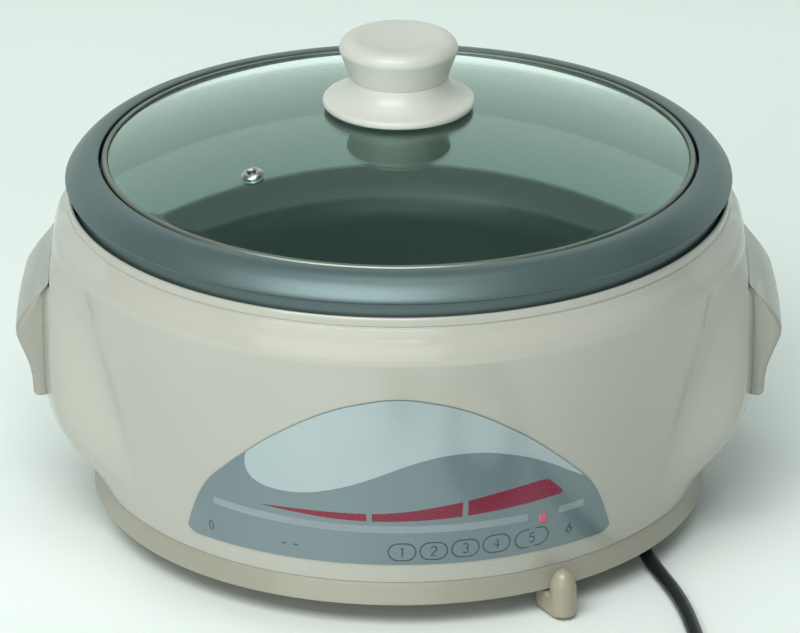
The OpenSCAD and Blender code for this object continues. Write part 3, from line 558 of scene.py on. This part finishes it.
cheek_f = pchip(*zip(*[(22.8, 144.6), (28, 147.0), (34, 150.0), (42, 156.0), (52, 163.6), (60, CHEEK - 3.6), (68, CHEEK - 1.2), (78, CHEEK),
                       (95, CHEEK + 0.1), (112, CHEEK), (120, 170.9), (126, 169.6), (130, 168.2), (135, 166.0), (139, 164.3)]))
collar_f = pchip(*zip(*[(139, FRONT_TOP), (141, 162.2), (143.5, 161.7), (148, 160.0), (152, 157.9), (154.1, 157.0), (154.8, 156.7), (155.2, 155.95),
                        (155.7, 155.85), (156.2, 156.4), (158.9, 156.4), (159.6, 156.1), (160, 155.7)]))


def sm(t):
    t = np.clip(t, 0, 1)
    return t * t * (3 - 2 * t)


def front_r(z):
    return FRONT_LOW + (FRONT_TOP - FRONT_LOW) * np.clip((z - 22.8) / (139 - 22.8), 0, 1)


FAR = 600.0


def flat_r(f, x):
    """Radius of the nearly flat side: a circle of radius FAR + x about a point FAR behind the axis."""
    s = FAR * np.sin(np.radians(f))
    return -s + np.sqrt(s ** 2 + (FAR + x) ** 2 - FAR ** 2)


def low_r(f, z):
    turn = 61 + 8 * np.clip((z - 33) / 85, 0, 1)
    w = sm((f - turn + 6.5) / 13)
    low = front_r(z) * (1 - w) + cheek_f(z) * w
    if f > 60:
        low = np.minimum(low, flat_r(f, np.where(z < 126, 164.9 + (126 - z) * 0.8, 164.9 - 1.4 * (z - 126) / 13)))
    scoop = sm((f - 76.2) / 1.4) * sm((126 - z) / 5)
    return low * (1 - scoop) + np.minimum(low, SCOOP / np.maximum(0.05, np.sin(np.radians(f)))) * scoop


def skin_r(f, z):
    """f: degrees from straight ahead or behind towards the side, 0 to 90. Radius of the outer skin."""
    over = collar_f(z) + (float(low_r(f, np.array(139.0))) - FRONT_TOP) * (1 - sm((z - 147) / 9.0))
    return np.where(z >= 139, over, low_r(f, np.minimum(z, 139.0)))


def housing():
    q = np.unique(np.concatenate([np.arange(0, 90.01, 1.0), np.arange(50, 90, 0.5), np.arange(75.8, 78.01, 0.1)]).round(4))
    az = np.concatenate([q, 180 - q[::-1][1:], 180 + q[1:], 360 - q[::-1][1:-1]])
    fold = np.where(az > 180, 360 - az, az)
    fold = np.where(fold > 90, 180 - fold, fold)
    zo = np.unique(np.concatenate([np.linspace(22.8, 23.4, 4), np.arange(24, 118, 2.0), np.arange(118, 120.5, 1.0), np.arange(120.5, 126.6, 0.4), np.arange(127, 137, 1.0), np.arange(137, 143.6, 0.35),
                                   np.arange(144, 154, 0.6), np.arange(154.1, 156.4, 0.2), np.arange(156.5, 159.2, 0.5), [159.2, 159.5, 159.75, 159.9, 160.0]]).round(4))
    inner = [(154.95, 160.0), (154.75, 159.8), (154.65, 159.4), (154.6, 155), (154.6, 151)]
    zi = [147, 142, 138, 134, 130, 127.5, 124.5, 122, 118, 112, 105, 98, 91, 84, 77, 70, 64, 58, 52, 46, 41, 36, 32, 30]
    cols = []
    for a, f in zip(az, fold):
        r = skin_r(f, zo)
        r[:4] -= np.array([0.3, 0.12, 0.03, 0.0])
        zz = list(zo)
        rr = list(r)
        rr += [p[0] for p in inner]
        zz += [p[1] for p in inner]
        ri = skin_r(f, np.array(zi, float)) - 2.8 * np.where(np.array(zi) < 70, 1.25, 1.06)
        rr += list(ri)
        zz += zi
        rr += [126, 126]
        zz += [27, 22.8]
        cols.append(np.stack([np.array(rr) * np.sin(np.radians(a)), -np.array(rr) * np.cos(np.radians(a)), np.array(zz)], 1))
    m, n = len(az), len(cols[0])
    verts = np.concatenate(cols) * MM
    i = np.arange(m)[:, None]
    k = np.arange(n)[None, :]
    j, l = (i + 1) % m, (k + 1) % n
    faces = np.stack([i * n + k, i * n + l + 0 * i, j * n + l, j * n + k + 0 * i], -1).reshape(-1, 4)
    ob = outward(make("housing_shell", verts.tolist(), faces.tolist(), M["housing"]))
    return sharp(ob, 38)


shell = housing()
done(shell, "cooker_base", "housing_plastic", "housing")


# ------------------------------------------------------------------ handles
HOOD_C, HOOD_A = -600.0, math.radians(3.09)
hood_f = pchip(*zip(*sorted([(127.6, 165.5), (126.0, 166.8), (123.4, 168.8), (120.6, 171.2), (118.0, 173.4), (114.4, 176.2), (110.8, 178.6), (107.6, 180.3),
                             (104.6, 181.0), (101.6, 180.9), (98.4, 180.0), (95.0, 178.7), (91.0, 177.1), (87.4, 175.8), (83.4, 174.7), (79.8, 174.1),
                             (75.0, 173.7), (72.4, 173.5), (70.4, 173.0)])))
back_f = pchip(*zip(*[(120.5, 146.6), (121.4, 147.0), (122.2, 149.8), (123.0, 154.0), (123.9, 159.4), (124.8, 163.5), (126.0, 164.8), (127.6, 164.6)]))


def trim_y(x):
    """Half width of the handle's back where it enters the recess."""
    return 30.0 + (x - 144) * (40.4 - 30.0) / (167.2 - 144)


def ring_xy(X, back, rc, inset):
    """One level of the handle seen from above: back, flank, rounded corner, bowed front, mirrored."""
    half = []
    x0 = back + inset
    X = X - inset
    R = X - HOOD_C
    xe, ye = HOOD_C + R * cos(HOOD_A), R * sin(HOOD_A) - inset
    xb = min(167.2, xe - 0.2)
    yb = trim_y(min(xb, 167.2)) - inset
    x0 = min(x0, xb - 0.1)
    for t in np.linspace(0, 1, 5)[:-1]:
        half.append((x0, (trim_y(x0) - inset) * t))
    for t in np.linspace(0, 1, 10)[:-1]:
        x = x0 + (xb - x0) * t
        half.append((x, trim_y(x) - inset))
    rc = max(0.05, min(rc, (xe - xb) * 0.8))
    corner = Vector((xe, ye))
    flank = (Vector((xb, yb)) - corner)
    flank = flank.normalized() if flank.length > 1e-6 else Vector((-1, 0))
    face = Vector((HOOD_C + R * cos(HOOD_A * 0.8) - xe, R * sin(HOOD_A * 0.8) - ye)).normalized()
    p0, p2 = corner + flank * rc, corner + face * rc
    for t in np.linspace(0, 1, 7)[:-1]:
        v = Vector((xb, yb)).lerp(p0, t)
        half.append((v.x, v.y))
    for t in np.linspace(0, 1, 9)[:-1]:
        v = p0 * (1 - t) ** 2 + corner * 2 * t * (1 - t) + p2 * t * t
        half.append((v.x, v.y))
    a1 = math.asin(max(-1, min(1, p2.y / R)))
    for t in np.linspace(0, 1, 14):
        a = a1 * (1 - t)
        half.append((HOOD_C + R * cos(a), R * sin(a)))
    full = half + [(x, -y) for x, y in half[::-1][1:-1]]
    return full


def handle(name, side):
    verts, rows = [], []
    def level(z, X, back, rc, inset):
        pts = ring_xy(X, back, rc, inset)
        rows.append((len(verts), len(pts)))
        verts.extend((x * side * MM, y * MM, z * MM) for x, y in pts)
    zs = sorted(set([round(v, 3) for v in list(np.arange(72.4, 127.2, 1.0)) + [127.1, 127.4, 127.6]]))
    wall = 3.2
    for z in [118.6, 115, 110, 106, 102, 98, 94, 90, 86, 82, 78, 75, 72.0]:
        level(z, float(hood_f(z)), 146.6, 3.2, wall)
    for d, ins in ((0.9, wall - 0.2), (0.25, wall - 0.5), (0.0, wall - 1.0), (0.0, 1.0), (0.25, 0.5), (0.9, 0.15), (1.6, 0.0)):
        level(70.4 + d, float(hood_f(70.4 + d)), 146.6, 3.2, ins)
    for z in zs:
        back = 146.6 if z <= 120.5 else float(back_f(z))
        rc = 4.6 if z < 110 else max(0.5, 4.6 * (128.4 - z) / 18.4)
        level(z, float(hood_f(z)), back, rc, 0.0)
    faces = []
    for (a, n), (b, _) in zip(rows, rows[1:]):
        for k in range(n):
            l = (k + 1) % n
            faces.append((a + k, a + l, b + l, b + k))
    a, n = rows[0]
    faces.append(tuple(a + k for k in range(n)))
    b, _ = rows[-1]
    faces.append(tuple(b + k for k in range(n)))
    # the handles take the darkened housing plastic: painted shade
    ob = outward(make(name, verts, faces, M["ear"]))
    return sharp(ob, 42)


done(handle("ear_right", 1), "cooker_base", "housing_plastic", "handle_right")
done(handle("ear_left", -1), "cooker_base", "housing_plastic", "handle_left")


# ------------------------------------------------------------------ control panel
PLO, PHI_, PARC = 33.0, 122.0, 111.0


edge_f = pchip(*zip(*[(0, PHI_), (6, 121.6), (12, 120.4), (21.5, 117.9), (30, 114.6), (39.5, 109.6), (49, 103.6), (59, 96.6), (70, 87.6), (83, 76.2), (94, 65.6),
                      (100, 57.4), (105.5, 47.6), (109, 40.4), (111, 36.0)]))


def panel_edge(u):
    return float(edge_f(abs(u) * PARC))


def on_wall(u, z, off):
    """Point on the front wall: u mm along the arc, height z, off mm proud of the wall."""
    a = u / 152.0
    r = float(front_r(z)) + off
    return (r * sin(a) * MM, -r * cos(a) * MM, z * MM)


def low_edge(u):
    """The panel's lower edge, with its corners rounded off."""
    k = max(0.0, (abs(u) - 104.5) / 6.5)
    return PLO + 2.9 * k ** 2.2


def high_edge(u):
    return max(low_edge(u) + 0.02, panel_edge(u / PARC))


bounds_u = 110.6


class Film:
    """Thin printed film on the front wall, built of strips so that it follows the curve."""

    def __init__(self):
        self.v, self.f, self.i = [], [], []

    def quad(self, a, b, c, d, mat):
        self.f.append((a, b, c, d))
        self.i.append(mat)

    def band(self, u0, u1, lo, hi, off0, off1, mat, nu=None, nz=4):
        """Closed slab between two curves of u, off0 to off1 proud."""
        nu = nu or max(2, int(abs(u1 - u0) / 1.2))
        us = np.linspace(u0, u1, nu + 1)
        base = len(self.v)
        for u in us:
            a, b = lo(u), hi(u)
            for k in range(nz + 1):
                z = a + (b - a) * k / nz
                self.v.append(on_wall(u, z, off1))
            for k in range(nz, -1, -1):
                z = a + (b - a) * k / nz
                self.v.append(on_wall(u, z, off0))
        m = 2 * (nz + 1)
        for i in range(nu):
            for k in range(m):
                l = (k + 1) % m
                self.quad(base + i * m + k, base + (i + 1) * m + k, base + (i + 1) * m + l, base + i * m + l, mat)
        for i in (0, nu):
            self.f.append(tuple(base + i * m + k for k in range(m)))
            self.i.append(mat)

    def ribbon(self, low, high, off0, off1, mat, nz):
        """Closed slab between two lines of (u, z) with as many points each."""
        base, m = len(self.v), 2 * (nz + 1)
        for (u0, z0), (u1, z1) in zip(low, high):
            row = [(u0 + (u1 - u0) * k / nz, z0 + (z1 - z0) * k / nz) for k in range(nz + 1)]
            self.v += [on_wall(u, z, off1) for u, z in row] + [on_wall(u, z, off0) for u, z in row[::-1]]
        for i in range(len(low) - 1):
            for k in range(m):
                l = (k + 1) % m
                self.quad(base + i * m + k, base + (i + 1) * m + k, base + (i + 1) * m + l, base + i * m + l, mat)
        for i in (0, len(low) - 1):
            self.f.append(tuple(base + i * m + k for k in range(m)))
            self.i.append(mat)

    def stroke(self, pts, width, off0, off1, mat, closed=False):
        """Closed slab along a line of (u, z)."""
        p = [Vector(q) for q in pts]
        n = len(p)
        base = len(self.v)
        for i in range(n):
            a = p[(i - 1) % n] if closed or i > 0 else p[i]
            b = p[(i + 1) % n] if closed or i < n - 1 else p[i]
            t = (b - a).normalized()
            s = Vector((-t.y, t.x)) * width / 2
            for q, o in ((p[i] - s, off1), (p[i] + s, off1), (p[i] + s, off0), (p[i] - s, off0)):
                self.v.append(on_wall(q.x, q.y, o))
        for i in range(n if closed else n - 1):
            j = (i + 1) % n
            for k in range(4):
                l = (k + 1) % 4
                self.quad(base + i * 4 + k, base + j * 4 + k, base + j * 4 + l, base + i * 4 + l, mat)
        if not closed:
            for i in (0, n - 1):
                self.f.append(tuple(base + i * 4 + k for k in range(4)))
                self.i.append(mat)


film = Film()
DARK, LIGHT, RED, INK, TRACK = range(5)
film.band(-bounds_u, bounds_u, low_edge, high_edge, 0.06, 0.42, DARK, nu=200, nz=24)
wave = spline([(-70.6, 87.0), (-71.8, 83.6), (-72.1, 80.2), (-71.5, 76.6), (-69.6, 73.5), (-66.3, 71.2), (-61.2, 69.6), (-54.3, 68.9), (-47.2, 69.1), (-40.0, 70.1),
               (-33.3, 71.8), (-26.3, 73.9), (-19.3, 76.5), (-12.9, 79.2), (-6.1, 82.3), (2.8, 86.2), (11.3, 89.2), (20.1, 91.2), (29.1, 92.0), (36.4, 91.8), (42.4, 90.9),
               (51.5, 88.6), (61.4, 85.0), (72.0, 79.7), (82.0, 73.6), (89.4, 69.2)], 6)
film.ribbon(wave, [(u, max(high_edge(u) - 0.5, 60)) for u in np.linspace(-70.4, 89.6, len(wave))], 0.40, 0.455, LIGHT, 10)
top_f = pchip(*zip(*[(-65.4, 59.5), (-46.3, 60.2), (-27.2, 60.4), (-13.5, 60.5), (0.6, 61.5), (14.4, 63.4), (30.3, 66.0), (47.0, 69.0), (61.7, 71.2), (68.0, 71.9),
                     (70.6, 71.6), (72.6, 70.2), (76.0, 67.0), (78.6, 64.6), (79.3, 63.4)]))
bot_f = pchip(*zip(*[(-65.4, 59.3), (-46.4, 58.0), (-27.3, 56.8), (-13.5, 56.5), (0.6, 56.7), (14.5, 57.2), (30.3, 58.1), (47.6, 59.5), (62.5, 60.8), (74, 61.9),
                     (78.4, 62.4), (79.3, 63.2)]))
for a, b, sl, sr in ((-65.4, -14.9, 0, 0.0), (-12.4, 29.6, 0.0, 1.6), (32.2, 79.3, 1.6, 0)):
    film.band(a, b, lambda u: float(bot_f(u)), lambda u: float(top_f(u)), 0.40, 0.46, RED, nu=max(10, int((b - a) / 1.0)), nz=5)
arc_f = pchip(*zip(*[(-92, 55.0), (-72.1, 53.9), (-46.7, 52.9), (-22.7, 52.3), (0.6, 52.2), (24.0, 52.3), (47.9, 52.7), (73.5, 53.2), (96.2, 54.2)]))
film.band(-92, 62, lambda u: float(arc_f(u)) - 1.9, lambda u: float(arc_f(u)) + 1.9, 0.40, 0.445, TRACK, nu=130, nz=2)
film.band(78, 92, lambda u: float(arc_f(u)) - 1.9, lambda u: float(arc_f(u)) + 1.9, 0.40, 0.445, TRACK, nu=14, nz=2)


def pill(cu, cz, w, h, tilt):
    r = h / 2
    pts = []
    for k in range(13):
        a = -pi / 2 + pi * k / 12
        pts.append((w / 2 - r + r * cos(a), r * sin(a)))
    for k in range(13):
        a = pi / 2 + pi * k / 12
        pts.append((-w / 2 + r + r * cos(a), r * sin(a)))
    ca, sa = cos(tilt), sin(tilt)
    return [(cu + x * ca - y * sa, cz + x * sa + y * ca) for x, y in pts]


def digit(n, cu, cz, h, tilt=0.0):
    """Plain numerals drawn as strokes."""
    w = h * 0.52
    def arc(cx, cy, rx, ry, a0, a1, k=10):
        return [(cx + rx * cos(math.radians(a0 + (a1 - a0) * j / k)), cy + ry * sin(math.radians(a0 + (a1 - a0) * j / k))) for j in range(k + 1)]
    S = {
        0: [arc(0, 0, w / 2, h / 2, 90, 450, 20)],
        1: [[(-w * 0.22, h * 0.3), (0.05 * w, h / 2), (0.05 * w, -h / 2)]],
        2: [arc(0, h * 0.24, w / 2, h * 0.26, 160, -30, 10) + [(-w / 2, -h / 2), (w / 2, -h / 2)]],
        3: [arc(0, h * 0.25, w * 0.46, h * 0.25, 150, -80, 10), arc(0, -h * 0.24, w / 2, h * 0.26, 85, -150, 10)],
        4: [[(w * 0.22, -h / 2), (w * 0.22, h / 2), (-w / 2, -h * 0.16), (w / 2, -h * 0.16)]],
        5: [[(w * 0.42, h / 2), (-w * 0.38, h / 2), (-w * 0.44, h * 0.06)] + arc(-w * 0.02, -h * 0.18, w / 2, h * 0.31, 120, -150, 12)],
        6: [[(w * 0.3, h / 2)] + arc(0, -h * 0.2, w / 2, h * 0.29, 150, 510, 18)],
    }[n]
    ca, sa = cos(tilt), sin(tilt)
    for line in S:
        film.stroke([(cu + x * ca - y * sa, cz + x * sa + y * ca) for x, y in line], h * 0.13, 0.40, 0.46, INK)


marks = [(1.6, 39.9, 13.0, 9.2, 0.0), (16.6, 40.2, 13.0, 9.2, 0.0), (31.8, 40.6, 13.2, 9.2, 0.01), (47.0, 41.2, 13.4, 9.4, 0.02), (65.0, 41.2, 17.2, 9.6, 0.04)]
for i, (cu, cz, w, h, tilt) in enumerate(marks):
    film.stroke(pill(cu, cz, w, h, tilt), 0.62, 0.40, 0.46, INK, closed=True)
    digit(i + 1, cu, cz, 5.0, tilt)
digit(0, -95.2, 40.6, 4.6)
film.stroke([(-56.5, 40.2), (-48.5, 40.2)], 0.8, 0.40, 0.46, INK)
digit(6, 85.2, 42.0, 5.0)
panel = make("control_film", film.v, film.f, [M["panel_dark"], M["panel_light"], M["panel_red"], M["panel_ink"], M["panel_track"]], True, film.i)
bm = bmesh.new()
bm.from_mesh(panel.data)
bmesh.ops.recalc_face_normals(bm, faces=bm.faces)
bm.to_mesh(panel.data)
bm.free()
sharp(panel, 30)
done(panel, "cooker_base", "panel_film", "control_panel")

lamp_place = Matrix.Rotation(math.radians(26.4), 4, "Z") @ Matrix.Translation((0, 0, 51 * MM)) @ Matrix.Rotation(math.radians(90), 4, "X")
lens = revolve("lamp_window", rounded([(0, 142.4), (3.4, 142.4, 0.3), (3.4, 143.6), (2.4, 143.6), (2.4, 148.9, 0.5), (1.6, 149.35, 0.6), (0, 149.5)], 0.5, 5),
               M["lamp"], 48, False, lamp_place)
done(lens, "cooker_base", "lamp_red", "lamp_lens")


# ------------------------------------------------------------------ pot
RIM = 178.2
pot_prof = rounded([
    (0, 94), (112, 94)] + [(112 + 20 * sin(math.radians(a)), 114 - 20 * cos(math.radians(a))) for a in range(6, 85, 6)] + [
    (136.0, 170.9, 0.5), (136.4, 171.8, 0.4), (141.0, 171.8, 0.5), (141.4, 172.4, 0.4), (141.4, RIM - 0.5, 0.3), (141.9, RIM + 0.02, 0.4)], 1.6, 5)
lining = len(pot_prof)
flange = spline([(142.3, RIM + 0.1), (144.2, RIM + 0.05), (146.6, RIM - 0.35), (149.6, RIM - 1.6), (152.2, RIM - 3.5), (154.4, RIM - 5.8), (156.1, RIM - 8.0), (157.0, RIM - 9.4),
                 (157.25, RIM - 10.2), (157.0, RIM - 10.75), (156.3, RIM - 11.0)], 5)
pot_prof += [tuple(p) for p in flange]
pot_prof += rounded([(155.9, RIM - 11.0), (154.7, RIM - 11.0, 0.2), (154.4, RIM - 11.4, 0.3), (154.4, RIM - 12.1, 0.3), (153.3, RIM - 12.7, 0.4), (153.2, 157.7, 0.6), (152.6, 157.0, 0.4),
                     (151.5, 157.0, 0.4), (151.0, 157.6), (151.0, 168.5, 1.0), (149.0, 171.3, 1.0), (146.5, 173.2, 1.0), (144.4, 173.4, 0.5), (143.6, 172.4, 0.5),
                     (143.4, 170.6, 0.5), (142.4, 169.2, 0.5), (140.0, 168.6, 0.5), (139.2, 167.6)], 1.0, 4)
pot_prof += [(112 + 23.6 * sin(math.radians(84 * (1 - i / 14))), 114 - 24 * cos(math.radians(84 * (1 - i / 14)))) for i in range(15)]
pot_prof += [(100, 90), (60, 90), (0, 90)]
pot = revolve("pot_shell", pot_prof, [M["pot"], M["pot_in"]], 288, False, None, lambda i: i < lining - 8)
sharp(pot, 50)
done(pot, "pot", "pot_coating", "inner_pot")


# ------------------------------------------------------------------ lid
GR, GT, GC = 379.3, 4.0, 203 - 379.3


def dome(r, off=0.0):
    return GC + math.sqrt((GR - off) ** 2 - r * r)


prof = [(4.5, dome(4.5))] + [(r, dome(r)) for r in np.linspace(8, 136.6, 60)]
prof += [(137.3, dome(137.3) - 0.1), (137.8, dome(137.8) - 0.5), (138.0, dome(138) - 1.2), (138.0, dome(138, GT) + 1.2), (137.8, dome(137.8, GT) + 0.5), (137.3, dome(137.3, GT) + 0.1)]
prof += [(r, dome(r, GT)) for r in np.linspace(136.6, 8, 60)] + [(4.5, dome(4.5, GT))]
glass = revolve("lid_pane", [(float(a), float(b)) for a, b in prof], M["glass"], 240, True)
done(glass, "lid", "tempered_glass", "lid_glass")
glass.data.materials[0] = M["glass"].m

rim = revolve("lid_band", rounded([
    (136.4, 171.95), (139.2, 171.95, 0.5), (140.0, 172.6, 0.5), (140.0, 177.2, 0.6), (139.4, 178.0, 0.6), (138.6, 178.15, 0.4), (137.5, 178.1, 0.3), (137.35, 177.6, 0.2),
    (137.7, 177.3, 0.2), (138.7, 177.3, 0.4), (139.1, 176.8, 0.3), (139.1, 173.1, 0.3), (138.7, 172.6, 0.3), (136.4, 172.5), (136.4, 171.95)], 0.7, 5)[:-1], M["rim"], 288, True)
sharp(rim, 60)
done(rim, "lid", "rim_steel", "lid_rim")

tilt = math.asin(92 / 379.3)
vent = Matrix.Rotation(math.radians(-47), 4, "Z") @ Matrix.Translation((0, 0, GC * MM)) @ Matrix.Rotation(tilt, 4, "X") @ Matrix.Translation((0, 0, GR * MM))
eye = revolve("steam_ring", rounded([
    (2.0, -5.0), (4.4, -5.0, 0.3), (4.6, -4.6, 0.2), (4.1, -4.25, 0.2), (3.0, -4.2), (3.0, 0.1), (5.0, 0.1, 0.1), (5.15, 0.45, 0.2), (4.6, 1.05, 0.5), (3.7, 1.5, 0.5),
    (2.8, 1.55, 0.4), (2.1, 1.2, 0.4), (2.0, 0.6, 0.3), (2.0, -5.0)], 0.35, 5)[:-1], M["steel"], 64, True, vent)
done(eye, "lid", "rim_steel", "steam_eyelet")

skirt = spline([(33.5, 202.45), (34.7, 202.7), (35.45, 203.4), (35.72, 204.4), (35.5, 205.5), (34.7, 206.2), (33.4, 206.65), (31.2, 207.35), (28.7, 208.5), (26.6, 210.0), (25.0, 211.8),
                (23.9, 213.8), (23.3, 215.4), (22.95, 216.6)], 5)
skirt_prof = [(4.5, 203.9), (15, 203.9), (30.0, 203.9), (31.0, 203.2), (31.8, 202.6), (32.6, 202.42)] + [tuple(p) for p in skirt] + [(22.4, 216.62), (14.0, 216.6), (14.0, 208.5), (4.5, 208.5)]
kb = revolve("knob_skirt", skirt_prof, M["knob"], 160, True)
sharp(kb, 50)
done(kb, "lid", "knob_plastic", "knob_base")
cap = spline([(22.95, 216.75), (24.2, 220.2), (25.6, 224.0), (26.9, 227.4), (27.5, 229.0), (27.85, 230.3), (27.65, 231.7), (26.9, 233.3), (25.6, 234.7), (23.9, 235.6),
              (22.0, 236.0), (20.1, 235.85), (18.0, 235.4), (15.0, 234.8), (11.5, 234.3), (7.5, 233.95), (3.5, 233.8), (0, 233.75)], 5)
cap_prof = [(4.05, 208.65), (13.7, 208.65), (13.7, 216.65), (22.4, 216.68)] + [tuple(p) for p in cap[:-1]] + [(0, 233.75)]
cap_prof[-1] = (0, 233.75)
kg = revolve("knob_cap", [(0, 224.0), (4.05, 224.0)] + cap_prof, M["knob"], 160, False)
sharp(kg, 50)
done(kg, "lid", "knob_plastic", "knob_grip")


# ------------------------------------------------------------------ lever
LA = math.radians(29.8)


def lever_cap():
    """Bullet nub with a block behind it that holds the arm."""
    R, H0, H1 = 6.2, 1.6, 14.2
    n = 48
    levels = [(H0, 5.0), (H0 + 0.12, 5.5), (H0 + 0.5, 5.95), (H0 + 1.1, R)] + [(z, R) for z in np.linspace(3.6, H1, 8)]
    levels += [(H1 + 10 * sin(math.radians(a)), R * cos(math.radians(a))) for a in range(6, 90, 6)]
    verts, faces = [], []
    for z, r in levels:
        k_open = 1.0 if z <= 10.6 else 0.0
        for k in range(n):
            t = 2 * pi * k / n
            x, y = r * sin(t), -r * cos(t)
            if z > 11.0 and y > 4.4:
                y = 4.4
            verts.append((x, y, z))
    m = len(levels)
    for i in range(m - 1):
        for k in range(n):
            l = (k + 1) % n
            faces.append((i * n + k, i * n + l, (i + 1) * n + l, (i + 1) * n + k))
    faces.append(tuple(range(n)))
    verts.append((0, 0, H1 + 10.0))
    top = len(verts) - 1
    for k in range(n):
        faces.append(((m - 1) * n + k, (m - 1) * n + (k + 1) % n, top))
    ob = outward(make("lever_nub", [(x * MM, (y - 152.4) * MM, z * MM) for x, y, z in verts], faces, M["lever"]))
    sharp(ob, 45)
    return ob


def block():
    """The nub's rear block, with rounded long edges."""
    prof = rounded([(-6.19, 3.2), (-6.19, 2.0, 0.8), (6.19, 2.0, 0.8), (6.19, 11.4, 1.4), (-6.19, 11.4, 1.4), (-6.19, 3.2)], 0.8, 5)[:-1]
    ys = [(-152.4, 0), (-149, 0), (-145, 0), (-141, 0), (-139.0, 0.0), (-138.3, 0.25), (-138.0, 0.8)]
    verts, faces = [], []
    for y, s in ys:
        for x, z in prof:
            cx, cz = 0, 6.7
            verts.append(((cx + (x - cx) * (1 - s / 6)) * MM, y * MM, (cz + (z - cz) * (1 - s / 5)) * MM))
    n = len(prof)
    for i in range(len(ys) - 1):
        for k in range(n):
            l = (k + 1) % n
            faces.append((i * n + k, i * n + l, (i + 1) * n + l, (i + 1) * n + k))
    faces.append(tuple(range(n)))
    faces.append(tuple((len(ys) - 1) * n + k for k in range(n)))
    ob = outward(make("lever_block", verts, faces, M["lever"]))
    return sharp(ob, 45)


turn = Matrix.Rotation(LA, 4, "Z")
nub, blk = lever_cap(), block()
for o in (nub, blk):
    o.data.transform(turn)
done(nub, "lever", "housing_plastic", "lever_cap")
done(blk, "lever", "housing_plastic")


# ------------------------------------------------------------------ feet
foot_objs = []
for i, a in enumerate((50, 130, -130, -50)):
    x, y, _ = at(a, 116, 0)
    prof = rounded([(1.5, 5), (1.5, 2.4), (3.1, 2.4), (3.1, 0.4, 0.2), (3.4, 0, 0.3), (8.2, 0, 0.3), (8.9, 0.5, 0.5), (9.6, 4.4, 0.4), (9.3, 5, 0.3), (1.5, 5)], 0.8, 4)[:-1]
    ob = revolve("rubber_foot_%d" % (i + 1), prof, M["rubber"], 48, True, Matrix.Translation((x * MM, y * MM, 0)))
    sharp(ob, 40)
    done(ob, "cooker_base", "foot_rubber", *(["feet"] if i == 0 else []))

# ------------------------------------------------------------------ carried-over CAD nodes
finish_of = {
    "knob_insert": "brass", "knob_gasket": "gasket", "knob_washer": "steel", "knob_screw": "steel", "handle_screws": "steel", "neon_lamp": "lamp",
    "base": "base", "base_screws": "steel", "foot_screws": "steel", "heating_plate": "plate", "heating_tube": "tube", "plate_posts": "steel",
    "heat_shield": "shield", "shield_nuts": "steel", "thermostat": "steatite", "thermostat_bracket": "steel", "lever_shaft": "steel", "lever_arm": "steel",
    "lever_screw": "steel", "terminal_block": "white", "thermal_fuse": "steatite", "wiring": "wire", "earth_tag": "brass", "cord_clamp": "white",
    "clamp_screws": "steel", "plug_pins": "pins"}
for name, key in finish_of.items():
    o = N[name]
    o.data.materials.clear()
    o.data.materials.append(M[key].m)
    o.data.polygons.foreach_set("material_index", [0] * len(o.data.polygons))
    o.data.polygons.foreach_set("use_smooth", [True] * len(o.data.polygons))
    o.data.set_sharp_from_angle(angle=math.radians(28))

# ------------------------------------------------------------------ cord facts
def length_of(curve):
    dg = bpy.context.evaluated_depsgraph_get()
    cu = curve.data.copy()
    cu.bevel_depth = 0
    tmp = bpy.data.objects.new("tmp", cu)
    me = tmp.to_mesh()
    co = np.array([v.co[:] for v in me.vertices])
    tmp.to_mesh_clear()
    bpy.data.objects.remove(tmp)
    bpy.data.curves.remove(cu)
    return float(np.linalg.norm(np.diff(co, axis=0), axis=1).sum())


cord_length = round(length_of(mains), 3)

# ------------------------------------------------------------------ stage
floor_m = Mat("floor", Specular_IOR_Level=0.3)
floor_m.color(floor_m.mix(floor_m.ramp(floor_m.noise(3.0, 3.0), 0.3, 0.7), rgb(237, 242, 239), rgb(233, 239, 236)))
floor_m.rough(floor_m.ramp(floor_m.noise(40.0, 2.0), 0.3, 0.7, 0.5, 0.6))


def stage_floor():
    """Flat pale table, open on every side."""
    xs = [-9, -4, -1.5, -0.5, 0.5, 1.5, 4, 9]
    verts = [(x, y, -0.0002) for y in xs for x in xs]
    n = len(xs)
    faces = [(j * n + i, j * n + i + 1, (j + 1) * n + i + 1, (j + 1) * n + i) for j in range(n - 1) for i in range(n - 1)]
    ob = make("floor", verts, faces, floor_m)
    return ob


stage_floor()
world = bpy.data.worlds.new("world")
bpy.context.scene.world = world
world.use_nodes = True
wt = world.node_tree
bg = next(n for n in wt.nodes if n.type == "BACKGROUND")
bg.inputs["Color"].default_value = (0.80, 0.92, 0.89, 1)
bg.inputs["Strength"].default_value = 0.19


def area(name, loc, target, size, size_y, power, color=(1, 1, 1), camera=False):
    l = bpy.data.lights.new(name, "AREA")
    l.shape = "RECTANGLE"
    l.size, l.size_y = size, size_y
    l.energy = power
    l.color = color
    o = bpy.data.objects.new(name, l)
    o.location = loc
    o.rotation_euler = (Vector(target) - Vector(loc)).to_track_quat("-Z", "Y").to_euler()
    o.visible_camera = camera
    bpy.context.scene.collection.objects.link(o)
    return o


TINT = (0.965, 1.0, 0.985)
area("key", (-0.42, -1.25, 1.60), (0.0, 0.0, 0.08), 1.6, 0.9, 35, TINT)
area("front", (-0.7, -2.55, 0.75), (0.0, 0.0, 0.08), 3.0, 1.5, 23, TINT)
area("top", (-0.05, -0.12, 1.5), (0.0, 0.0, 0.1), 0.8, 0.35, 3, TINT)
area("back", (0.0, 0.78, 0.48), (0.0, -1.0, 0.48), 4.4, 0.9, 9.0, (0.86, 1.0, 0.94))
area("rear", (0.0, 2.3, 1.7), (0.0, 2.3, 0.0), 5.0, 2.2, 7, TINT)

bpy.context.scene.view_settings.view_transform = "Standard"
bpy.context.scene.view_settings.look = "None"
bpy.context.scene.view_settings.exposure = 0.0
